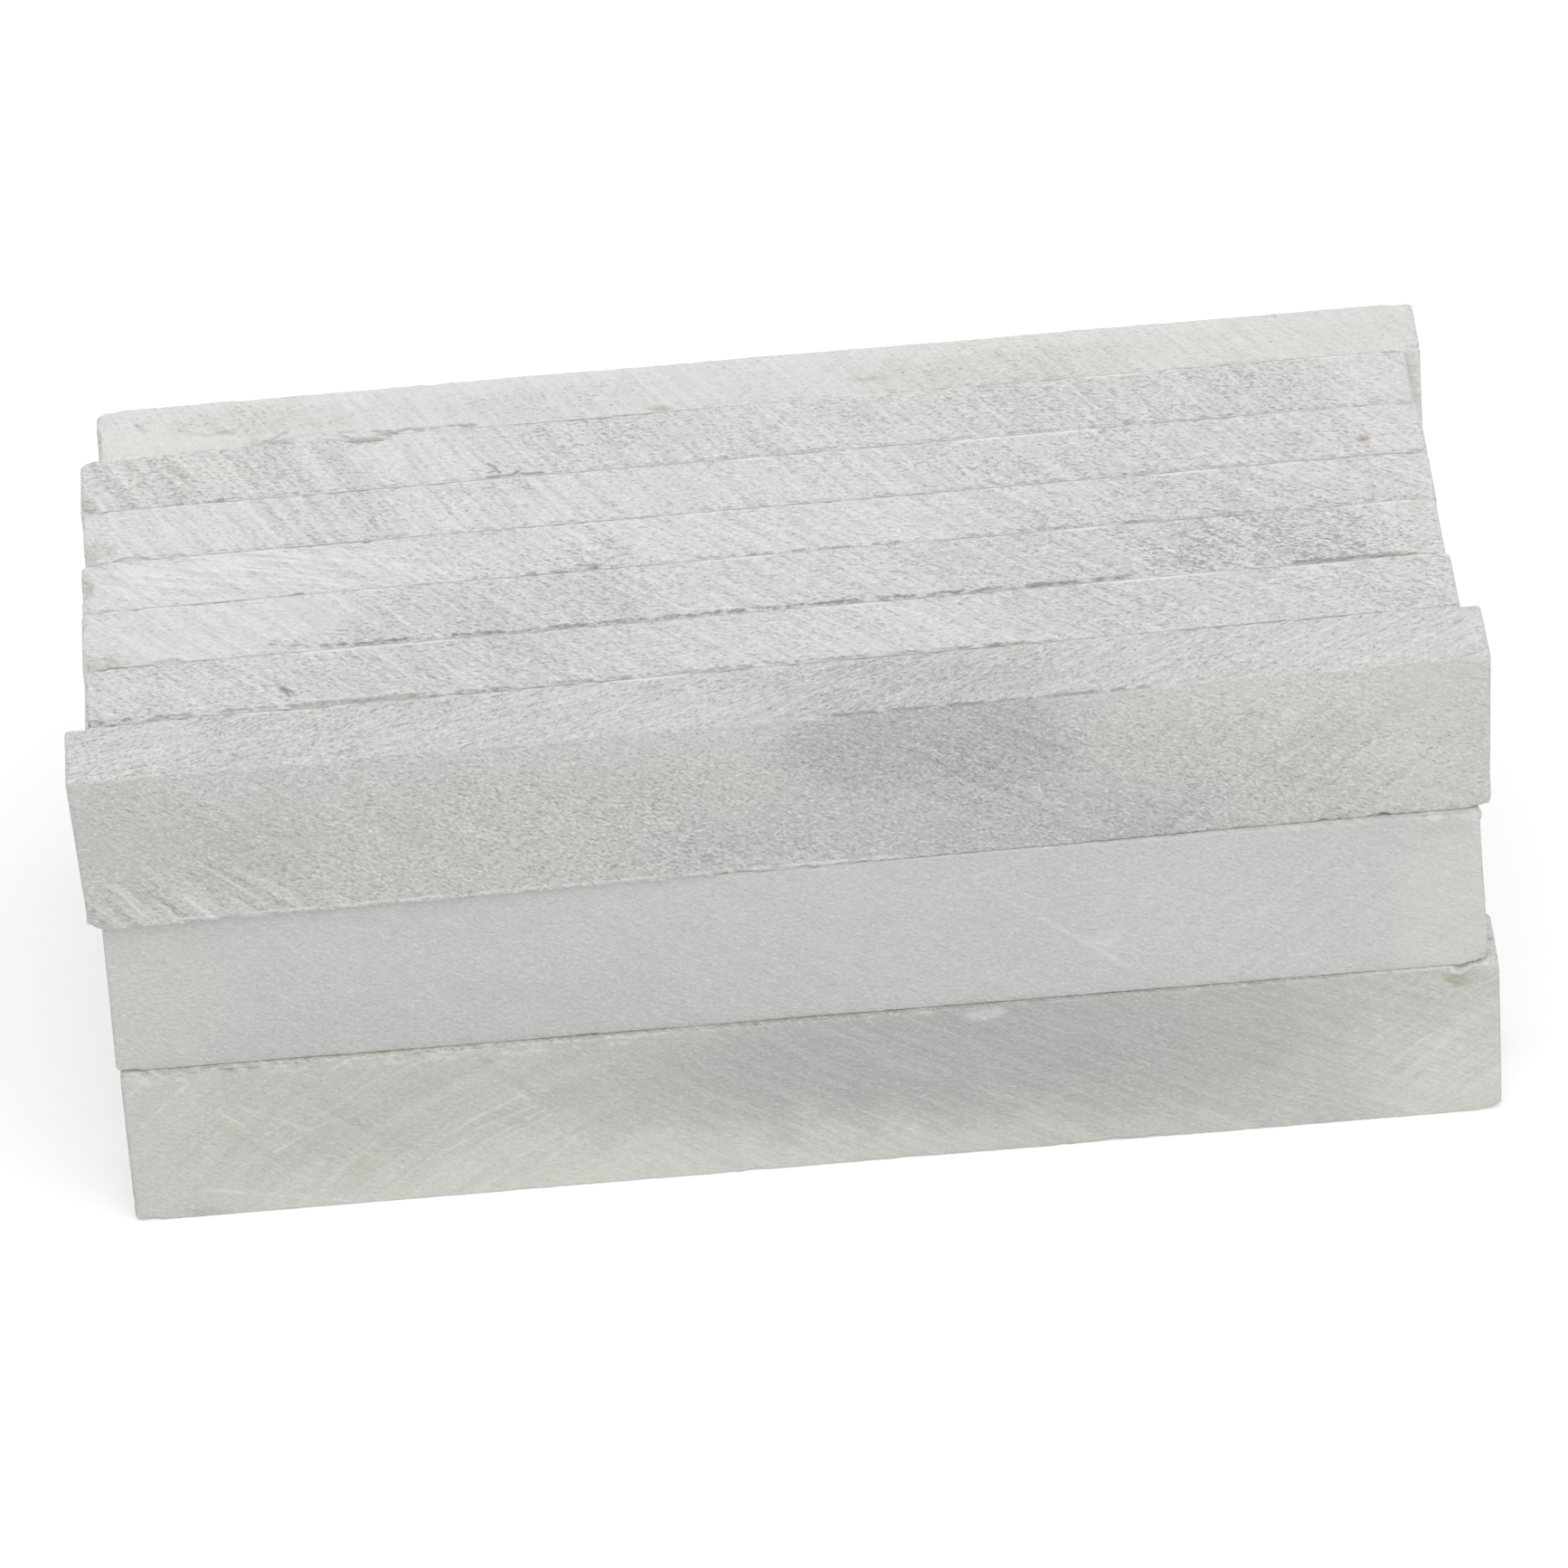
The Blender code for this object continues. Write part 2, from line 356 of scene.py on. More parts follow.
class StoneEffects:
    """The node groups that the stone finishes share, each built once."""

    VECTOR = "NodeSocketVector"
    NUMBER = "NodeSocketFloat"
    GRAIN_PULL = -0.42
    GRAIN_BEND = 0.4
    # Offset that paints each grain lighter on its far side and darker on its near side, as painted light from
    # above
    LIT_FROM: Triple = (0.0, 0.35, 0.35)
    MID_NOISE: Triple = (0.5, 0.5, 0.5)
    CLOUD_SHIFT = 4.0
    GAP_BLUR = 0.10

    def __init__(self) -> None:
        """Builds the groups."""
        self.grain = self.build_grain()
        self.saw_marks = self.build_saw_marks()
        self.cloud = self.build_cloud()
        self.score = self.build_score()
        self.broken = self.build_broken()

    def start(self, name: str, takes: dict[str, str],
              gives: list[str]) -> tuple[Wiring, dict[str, Socket], bpy.types.Node]:
        """Starts a group.

        Args:
            name: the group's name.
            takes: its inputs, as name to socket type.
            gives: the names of its outputs, which are numbers.

        Returns:
            The wiring, the group's inputs by name, and its output node.
        """
        tree = bpy.data.node_groups.new(name, "ShaderNodeTree")
        for key, kind in takes.items():
            tree.interface.new_socket(name=key, in_out="INPUT", socket_type=kind)
        for key in gives:
            tree.interface.new_socket(name=key, in_out="OUTPUT", socket_type=self.NUMBER)
        wiring = Wiring(tree)
        inside = wiring.node("NodeGroupInput")
        given = wiring.node("NodeGroupOutput")
        return wiring, {key: inside.outputs[key] for key in takes}, given

    def build_grain(self) -> bpy.types.NodeTree:
        """Builds the crystal grain: its tone, relief, open pits, light flecks and a broad mottle.

        The tone carries painted light and shade: the grains are painted lighter on the far side, as if lit
        from above.

        Returns:
            The group's tree.
        """
        takes = {"Place": self.VECTOR, "Way": self.VECTOR, "Size": self.NUMBER, "Openness": self.NUMBER}
        w, inside, given = self.start("Stone grain", takes, ["Tone", "Rise", "Pits", "Flecks", "Mottle"])
        wander = w.noise(inside["Place"], scale=0.9, detail=1.0).outputs[1]
        bend = w.scaled(w.vector("SUBTRACT", wander, self.MID_NOISE), self.GRAIN_BEND)
        bent = w.vector("ADD", inside["Place"], bend)
        along = w.measured("DOT_PRODUCT", bent, inside["Way"])
        pull = w.math("MULTIPLY", along, self.GRAIN_PULL)
        drawn_out = w.vector("ADD", bent, w.scaled(inside["Way"], pull))
        fine = w.scaled(drawn_out, w.math("DIVIDE", 1.0, inside["Size"]))
        rise = w.noise(fine, detail=1.5, rough=0.6).outputs[0]
        beyond = w.noise(w.vector("ADD", fine, self.LIT_FROM), detail=1.5, rough=0.6).outputs[0]
        # Painted light and shade of the grain's relief
        slope = w.math("SUBTRACT", rise, beyond)
        tone = w.math("MULTIPLY_ADD", rise, 0.6, w.math("ADD", slope, 0.2))
        w.feed(given.inputs["Tone"], tone)
        w.feed(given.inputs["Rise"], rise)
        # Dark pits in the grain's low spots are painted shade; light flecks on its crests and lit sides are
        # painted highlight
        edge = w.math("MULTIPLY_ADD", inside["Openness"], 0.10, 0.32)
        w.feed(given.inputs["Pits"], w.step(tone, edge, w.math("SUBTRACT", edge, 0.12)))
        w.feed(given.inputs["Flecks"], w.step(tone, 0.62, 0.85))
        mottle = w.noise(inside["Place"], scale=0.45, detail=3.0, rough=0.6).outputs[0]
        w.feed(given.inputs["Mottle"], mottle)
        return w.tree

    def build_saw_marks(self) -> bpy.types.NodeTree:
        """Builds saw marks as streaks that lie along arcs round a centre.

        Returns:
            The group's tree.
        """
        takes = {"Place": self.VECTOR, "Lot": self.VECTOR, "Centre": self.VECTOR}
        takes |= {"Pitch": self.NUMBER, "Reach": self.NUMBER}
        w, inside, given = self.start("Saw marks", takes, ["Lines", "Scores"])
        away = w.measured("DISTANCE", inside["Place"], inside["Centre"])
        wander = w.noise(inside["Place"], scale=0.2, detail=1.0).outputs[0]
        across = w.math("ADD", w.math("DIVIDE", away, inside["Pitch"]), wander)
        along = w.scaled(inside["Place"], w.math("DIVIDE", 1.0, inside["Reach"]))
        parts = w.node("ShaderNodeSeparateXYZ", {0: along})
        beside = w.math("ADD", parts.outputs[1], parts.outputs[2])
        streak = w.node("ShaderNodeCombineXYZ", {0: across, 1: parts.outputs[0], 2: beside}).outputs[0]
        streak = w.vector("ADD", streak, inside["Lot"])
        w.feed(given.inputs["Lines"], w.step(w.noise(streak, detail=1.0).outputs[0], 0.34, 0.66))
        count = w.math("MULTIPLY_ADD", across, 0.45, w.math("MULTIPLY", wander, 1.5))
        crest = w.math("ABSOLUTE", w.math("SUBTRACT", w.math("FRACT", count), 0.5))
        each = w.math("MULTIPLY", w.math("FLOOR", count), 7.3)
        stretch = w.node("ShaderNodeCombineXYZ", {0: each, 1: parts.outputs[0], 2: beside}).outputs[0]
        stretch = w.vector("MULTIPLY_ADD", stretch, (1.0, 1.6, 1.6), inside["Lot"])
        kept = w.step(w.noise(stretch, detail=1.0).outputs[0], 0.46, 0.62)
        cut = w.math("MULTIPLY", w.step(crest, 0.18, 0.0), kept)
        w.feed(given.inputs["Scores"], cut)
        return w.tree

    def build_cloud(self) -> bpy.types.NodeTree:
        """Builds a ragged patch round a centre.

        Returns:
            The group's tree.
        """
        takes = {"Place": self.VECTOR, "Centre": self.VECTOR, "Reach": self.VECTOR}
        takes |= {"Ragged": self.NUMBER, "Softness": self.NUMBER, "Lean": self.NUMBER}
        w, inside, given = self.start("Stone cloud", takes, ["Mask"])
        noise = w.noise(inside["Place"], scale=0.4, detail=3.0, rough=0.6).outputs[1]
        shift = w.scaled(w.vector("SUBTRACT", noise, self.MID_NOISE), inside["Ragged"])
        moved = w.vector("ADD", inside["Place"], w.scaled(shift, self.CLOUD_SHIFT))
        away = w.node("ShaderNodeSeparateXYZ", {0: w.vector("SUBTRACT", moved, inside["Centre"])})
        risen = w.math("ADD", away.outputs[1], away.outputs[2])
        slanted = w.math("SUBTRACT", away.outputs[0], w.math("MULTIPLY", risen, inside["Lean"]))
        parts = {0: slanted, 1: away.outputs[1], 2: away.outputs[2]}
        upright = w.node("ShaderNodeCombineXYZ", parts).outputs[0]
        reached = w.vector("DIVIDE", upright, inside["Reach"])
        outer = w.math("ADD", 1.0, inside["Softness"])
        inner = w.math("SUBTRACT", 1.0, inside["Softness"])
        w.feed(given.inputs["Mask"], w.step(w.measured("LENGTH", reached), outer, inner))
        return w.tree

    def build_score(self) -> bpy.types.NodeTree:
        """Builds one thin scratch from a start to a finish, broken up along its length.

        Returns:
            The group's tree.
        """
        takes = {"Place": self.VECTOR, "Wander": self.VECTOR, "Crumble": self.NUMBER}
        takes |= {"Start": self.VECTOR, "Finish": self.VECTOR}
        takes |= {"Width": self.NUMBER, "Ragged": self.NUMBER, "Gaps": self.NUMBER}
        w, inside, given = self.start("Score line", takes, ["Mask"])
        shift = w.scaled(w.vector("SUBTRACT", inside["Wander"], self.MID_NOISE), inside["Ragged"])
        run = w.vector("SUBTRACT", inside["Finish"], inside["Start"])
        went = w.vector("SUBTRACT", w.vector("ADD", inside["Place"], shift), inside["Start"])
        whole = w.measured("DOT_PRODUCT", run, run)
        share = w.math("DIVIDE", w.measured("DOT_PRODUCT", went, run), whole)
        share = w.node("ShaderNodeClamp", {0: share}).outputs[0]
        away = w.measured("DISTANCE", went, w.scaled(run, share))
        line = w.step(away, inside["Width"], 0.0)
        whole_at = w.math("ADD", inside["Gaps"], self.GAP_BLUR)
        none_at = w.math("SUBTRACT", inside["Gaps"], self.GAP_BLUR)
        kept = w.step(inside["Crumble"], none_at, whole_at)
        w.feed(given.inputs["Mask"], w.math("MULTIPLY", line, kept))
        return w.tree

    def build_broken(self) -> bpy.types.NodeTree:
        """Builds masks from the mesh's wear and shading: fresh breaks, dust with painted shade on the crumbs
        of the seams and scars and its deepest dark, and pale rims with a painted highlight.

        Returns:
            The group's tree.
        """
        takes = {"Place": self.VECTOR, "Wear": self.VECTOR}
        w, inside, given = self.start("Broken stone", takes, ["Break", "Grime", "Soot", "Rim"])
        wear = w.node("ShaderNodeSeparateXYZ", {0: inside["Wear"]})
        noise = w.math("SUBTRACT", w.noise(inside["Place"], scale=3.0, detail=2.0).outputs[0], 0.5)
        felt = w.math("MULTIPLY_ADD", noise, 0.10, wear.outputs[0])
        w.feed(given.inputs["Break"], w.step(felt, 0.04, 0.16))
        # Dust with painted shade in the seams and scars, and its deepest dark
        dark = w.math("MULTIPLY_ADD", noise, 0.20, wear.outputs[1])
        w.feed(given.inputs["Grime"], w.step(dark, 0.05, 0.35))
        patch = w.noise(inside["Place"], scale=1.2, detail=2.0).outputs[0]
        black = w.math("MULTIPLY_ADD", w.math("SUBTRACT", patch, 0.5), 0.8, wear.outputs[1])
        w.feed(given.inputs["Soot"], w.step(black, 0.40, 0.75))
        # Pale rim: worn whitening with a painted highlight along the edge
        pale = w.math("MULTIPLY_ADD", noise, 0.8, wear.outputs[2])
        w.feed(given.inputs["Rim"], w.step(pale, 0.25, 0.85))
        return w.tree


class StoneShelf:
    """Makes the node materials of the finishes and keeps them by name."""

    FRESH_BREAK: Triple = (0.78, 0.78, 0.75)
    # Dust with painted shade, laid on crumbs in the seams between sticks and in scars
    GRIME: Triple = (0.46, 0.455, 0.42)
    # The deepest painted shade with dirt, where the seams and scars are darkest
    SOOT: Triple = (0.22, 0.215, 0.195)
    # Dark lines: cracks and pits, dust with painted shade along the seams, and the painted shadow under the
    # flake's step
    CRACK: Triple = (0.25, 0.25, 0.235)
    # Pale rim along worn edges: worn whitening with a painted highlight
    RIM: Triple = (0.90, 0.895, 0.86)
    # Pale colour of the light flecks, which are painted highlight on the grain's crests, and of the light saw
    # scores and scratches
    FLECK: Triple = (0.90, 0.90, 0.89)
    # Dark colour of the pits, painted shade in the grain's hollows
    PIT: Triple = (0.30, 0.30, 0.28)
    BREAK_SHARE = 0.6
    GRIME_SHARE = 0.85
    RIM_SHARE = 0.85
    GROOVE_PITS = 16.0
    OPEN_CONTRAST = 0.5
    PATCH_SCALE = 0.3
    LOT_SCALE = 0.37
    STREAK_LIGHT = 2.0
    STREAK_HEIGHT = 2.0
    CUT_HEIGHT = 0.5
    MOTTLE_HEIGHT = 0.8
    BREAK_SHADE = 0.5
    PIT_ROUGHER = 0.15
    FLECK_SMOOTHER = -0.12
    SPECULAR = 0.3

    def __init__(self) -> None:
        """Builds the shared effects."""
        self.effects = StoneEffects()
        self.made: dict[str, bpy.types.Material] = {}

    def material(self, finish: StoneFinish) -> bpy.types.Material:
        """Gives the material of a finish.

        Args:
            finish: what the face looks like.

        Returns:
            The material, made on first use.
        """
        if finish.name not in self.made:
            self.made[finish.name] = self.mix_stone(finish)
        return self.made[finish.name]

    def masked(self, w: Wiring, place: Socket, cloud: Cloud) -> Socket:
        """Places the mask of a cloud.

        Args:
            w: the material's wiring.
            place: where on the stick, in mm.
            cloud: the patch.

        Returns:
            Its mask.
        """
        feeds = {"Place": place, "Centre": cloud.at, "Reach": cloud.reach}
        feeds |= {"Ragged": cloud.ragged, "Softness": cloud.softness, "Lean": cloud.lean}
        return w.group(self.effects.cloud, feeds).outputs["Mask"]

    def clouded(self, w: Wiring, place: Socket, finish: StoneFinish) -> tuple[Feed, Feed]:
        """Lays the clouds over the stone.

        Args:
            w: the material's wiring.
            place: where on the stick, in mm.
            finish: what the face looks like.

        Returns:
            The colour, and how open the grain is.
        """
        colour: Feed = finish.colour
        openness: Feed = finish.openness
        for cloud in finish.clouds:
            mask = self.masked(w, place, cloud)
            colour = w.mixed(w.math("MULTIPLY", mask, cloud.share), colour, cloud.colour)
            if cloud.openness:
                openness = w.math("MULTIPLY_ADD", mask, cloud.openness, openness)
        return colour, openness

    def sawn(self, w: Wiring, place: Socket, lot: Socket, finish: StoneFinish) -> tuple[Feed, Feed]:
        """Draws the saw marks.

        Args:
            w: the material's wiring.
            place: where on the stick, in mm.
            lot: the stick's own offset.
            finish: what the face looks like.

        Returns:
            How light the streaks are, round 0, and how light the single cuts are.
        """
        streaks: Feed = 0.0
        cuts: Feed = 0.0
        for saw in finish.saws:
            feeds = {"Place": place, "Lot": lot, "Centre": saw.centre, "Pitch": saw.pitch, "Reach": saw.reach}
            marks = w.group(self.effects.saw_marks, feeds)
            lines = w.math("SUBTRACT", marks.outputs["Lines"], 0.5)
            scores = marks.outputs["Scores"]
            if saw.where:
                mask = self.masked(w, place, Cloud(*saw.where, finish.colour, ragged=0.8, softness=0.5))
                lines = w.math("MULTIPLY", lines, mask)
                scores = w.math("MULTIPLY", scores, mask)
            streaks = w.math("MULTIPLY_ADD", lines, saw.light, streaks)
            cuts = w.math("MULTIPLY_ADD", scores, saw.scores, cuts)
        return streaks, cuts

    def scored(self, w: Wiring, place: Socket, finish: StoneFinish) -> tuple[Feed, Feed]:
        """Draws the scratches and cracks.

        Args:
            w: the material's wiring.
            place: where on the stick, in mm.
            finish: what the face looks like.

        Returns:
            How pale and how dark they make the stone.
        """
        pale: Feed = 0.0
        dark: Feed = 0.0
        if finish.lines:
            wander = w.noise(place, scale=2.2, detail=3.0, rough=0.6).outputs[1]
            crumble = w.noise(place, scale=1.5, detail=2.0).outputs[0]
        for line in finish.lines:
            feeds = {"Place": place, "Wander": wander, "Crumble": crumble}
            feeds |= {"Start": line.start, "Finish": line.finish}
            feeds |= {"Width": line.width, "Ragged": line.ragged, "Gaps": line.gaps}
            mask = w.group(self.effects.score, feeds).outputs["Mask"]
            if line.light > 0.0:
                pale = w.math("MAXIMUM", w.math("MULTIPLY", mask, line.light), pale)
            else:
                dark = w.math("MAXIMUM", w.math("MULTIPLY", mask, -line.light), dark)
        return pale, dark

    def mix_stone(self, finish: StoneFinish) -> bpy.types.Material:
        """Wires a stone material.

        Args:
            finish: what the face looks like.

        Returns:
            The new material.
        """
        material = bpy.data.materials.new(finish.name)
        material.use_nodes = True
        w = Wiring(material.node_tree)
        place = w.scaled(w.node("ShaderNodeTexCoord").outputs["Object"], 1.0 / MM)
        lot = w.node("ShaderNodeAttribute", attribute_name="lot").outputs["Vector"]
        wear = w.node("ShaderNodeAttribute", attribute_name="wear").outputs["Vector"]
        own = w.vector("ADD", place, lot)
        colour, openness = self.clouded(w, place, finish)
        streaks, cuts = self.sawn(w, place, lot, finish)
        pale, dark = self.scored(w, place, finish)

        patch = w.math("SUBTRACT", w.noise(own, scale=self.PATCH_SCALE, detail=2.0).outputs[0], 0.5)
        openness = w.math("MULTIPLY_ADD", patch, finish.patchy, openness)
        contrast = w.math("MULTIPLY_ADD", openness, self.OPEN_CONTRAST * finish.tone, finish.tone)
        openness = w.math("MULTIPLY_ADD", streaks, -self.GROOVE_PITS, openness)
        feeds = {"Place": own, "Way": finish.way, "Size": finish.grain, "Openness": openness}
        grain = w.group(self.effects.grain, feeds)
        tone = w.math("MULTIPLY", w.math("SUBTRACT", grain.outputs["Tone"], 0.5), contrast)
        mottle = w.math("SUBTRACT", grain.outputs["Mottle"], 0.5)
        shade = w.math("MULTIPLY_ADD", mottle, 2.0 * finish.mottle, w.math("ADD", tone, 1.0))
        shade = w.math("MULTIPLY_ADD", streaks, self.STREAK_LIGHT, shade)
        if finish.spread:
            each = w.noise(w.scaled(lot, self.LOT_SCALE), detail=0.0).outputs[0]
            shade = w.math("MULTIPLY_ADD", w.math("SUBTRACT", each, 0.5), finish.spread, shade)
        height = w.math("MULTIPLY_ADD", mottle, self.MOTTLE_HEIGHT, grain.outputs["Rise"])
        height = w.math("MULTIPLY_ADD", cuts, self.CUT_HEIGHT, height)
        height = w.math("MULTIPLY_ADD", streaks, self.STREAK_HEIGHT, height)
        light = w.math("MULTIPLY_ADD", grain.outputs["Flecks"], finish.fleck_light, cuts)
        light = w.math("ADD", light, pale)

        colour = w.scaled(colour, shade)
        # Painted shade in the pits and painted highlight on the flecks, with the light saw scores and
        # scratches
        colour = w.mixed(w.math("MULTIPLY", grain.outputs["Pits"], finish.pit_dark), colour, self.PIT)
        colour = w.mixed(light, colour, self.FLECK)
        broken = w.group(self.effects.broken, {"Place": own, "Wear": wear})
        fresh = w.math("MULTIPLY_ADD", w.math("SUBTRACT", shade, 1.0), self.BREAK_SHADE, 1.0)
        # Fresh breaks, pale rims with a painted highlight, and dust with painted shade in the seams and scars
        for mask, share, over in (
            ("Break", self.BREAK_SHARE, w.scaled(self.FRESH_BREAK, fresh)),
            ("Rim", self.RIM_SHARE, self.RIM),
            ("Grime", self.GRIME_SHARE, self.GRIME),
            ("Soot", 1.0, self.SOOT),
        ):
            colour = w.mixed(w.math("MULTIPLY", broken.outputs[mask], share), colour, over)
        # Dark lines: cracks and pits, dust with painted shade along the seams, and the painted shadow under
        # the flake's step
        if isinstance(dark, bpy.types.NodeSocket):
            colour = w.mixed(dark, colour, self.CRACK)
        rough = w.math("MULTIPLY_ADD", grain.outputs["Pits"], self.PIT_ROUGHER, finish.roughness)
        rough = w.math("MULTIPLY_ADD", grain.outputs["Flecks"], self.FLECK_SMOOTHER, rough)

        bump = w.node("ShaderNodeBump", {"Strength": 1.0, "Distance": finish.relief * MM, "Height": height})
        feeds = {"Base Color": colour, "Roughness": rough, "Normal": bump.outputs[0]}
        feeds["Specular IOR Level"] = self.SPECULAR
        shader = w.node("ShaderNodeBsdfPrincipled", feeds).outputs[0]
        w.node("ShaderNodeOutputMaterial", {"Surface": shader})
        return material


class RoughField:
    """Smooth seeded noise over space, which shapes the stone."""

    TABLE = 256

    def __init__(self, seed: int) -> None:
        """Draws the tables.

        Args:
            seed: which noise it is.
        """
        draw = np.random.default_rng(seed)
        self.order = draw.permutation(self.TABLE)
        self.level = draw.uniform(-1.0, 1.0, self.TABLE)

    def at(self, points: np.ndarray, size: float) -> np.ndarray:
        """Reads the noise.

        Args:
            points: places in mm, one a row.
            size: how far apart its bumps are, in mm.

        Returns:
            One value from -1 to 1 for each place.
        """
        scaled = points / size
        cell = np.floor(scaled).astype(int)
        part = scaled - cell
        part = part * part * (3.0 - 2.0 * part)
        total = np.zeros(len(points))
        for corner in itertools.product((0, 1), repeat=3):
            spot = (cell + np.array(corner)) % self.TABLE
            index = self.order[spot[:, 0]]
            index = self.order[(index + spot[:, 1]) % self.TABLE]
            index = self.order[(index + spot[:, 2]) % self.TABLE]
            share = np.prod(np.where(corner, part, 1.0 - part), axis=1)
            total += share * self.level[index]
        return total


def smooth(value: np.ndarray, low: float, high: float) -> np.ndarray:
    """Returns a smooth step of the values from 0 at low to 1 at high."""
    share = np.clip((value - low) / (high - low), 0.0, 1.0)
    return share * share * (3.0 - 2.0 * share)


@dataclass
class Lattice:
    """A closed skin of quads on a box, with close cuts along the edges, and its flat bake map."""

    half: np.ndarray
    step: Triple
    edge_cuts: tuple[float, ...] = (0.0, 0.06, 0.13, 0.22, 0.34, 0.5, 0.72)
    map_side: float = 65.0
    map_margin: float = 0.5
    map_gap: float = 0.6
    ends_at: float = 43.8
    ends_gap: float = 0.2
    points: np.ndarray = field(init=False)
    quads: np.ndarray = field(init=False)
    cuts: np.ndarray = field(init=False)
    flat: np.ndarray = field(init=False)

    SIDES = ((1, (0, 2), Cut.WIDE), (2, (0, 1), Cut.NARROW), (0, (1, 2), Cut.END))

    def __post_init__(self) -> None:
        """Lays out the points, the quads, the kind of face of each quad and the map."""
        axes = [self.positions(axis) for axis in range(3)]
        count = [len(axis) for axis in axes]
        quads, kinds, flat = [], [], []
        row = self.map_margin
        for fixed, (first, second), kind in self.SIDES:
            for side in (0, 1):
                grid = np.zeros((count[first], count[second], 3), int)
                grid[..., first] = np.arange(count[first])[:, None]
                grid[..., second] = np.arange(count[second])[None, :]
                grid[..., fixed] = side * (count[fixed] - 1)
                ids = (grid[..., 2] * count[1] + grid[..., 1]) * count[0] + grid[..., 0]
                spread = np.stack([axes[first][grid[..., first]], axes[second][grid[..., second]]], -1)
                ring = [(0, 0), (1, 0), (1, 1), (0, 1)]
                if (side == 1) == (fixed == 1):
                    ring.reverse()
                corner = [np.s_[a:count[first] - 1 + a, b:count[second] - 1 + b] for a, b in ring]
                quads.append(np.stack([ids[c] for c in corner], -1).reshape(-1, 4))
                uv = np.stack([spread[c] for c in corner], 2).reshape(-1, 4, 2)
                tall = 2.0 * self.half[second] + self.map_gap
                uv[..., 1] += self.half[second]
                if kind is Cut.END:
                    uv[..., 0] += self.ends_at
                    uv[..., 1] += self.map_margin + side * (tall + self.ends_gap)
                else:
                    right = uv[..., 0].mean(1) > 0.0
                    uv[~right, :, 0] += self.half[first]
                    uv[right, :, 1] += tall
                    uv[..., 0] += self.map_margin
                    uv[..., 1] += row
                    row += 2.0 * tall
                flat.append(uv / self.map_side)
                kinds.append(np.full(len(uv), kind.value))
        used, packed = np.unique(np.concatenate(quads), return_inverse=True)
        x, rest = used % count[0], used // count[0]
        self.points = np.stack([axes[0][x], axes[1][rest % count[1]], axes[2][rest // count[1]]], 1)
        self.quads = packed.reshape(-1, 4)
        self.cuts = np.concatenate(kinds)
        self.flat = np.concatenate(flat)

    def positions(self, axis: int) -> np.ndarray:
        """Gives the cuts along one axis.

        Args:
            axis: 0, 1 or 2.

        Returns:
            Places from one face to the other, in mm.
        """
        half = float(self.half[axis])
        near = np.array(self.edge_cuts)
        inner = half - near[-1]
        middle = np.linspace(-inner, inner, max(2, round(2.0 * inner / self.step[axis]) + 1))
        return np.concatenate([near[:-1] - half, middle, half - near[-2::-1]])


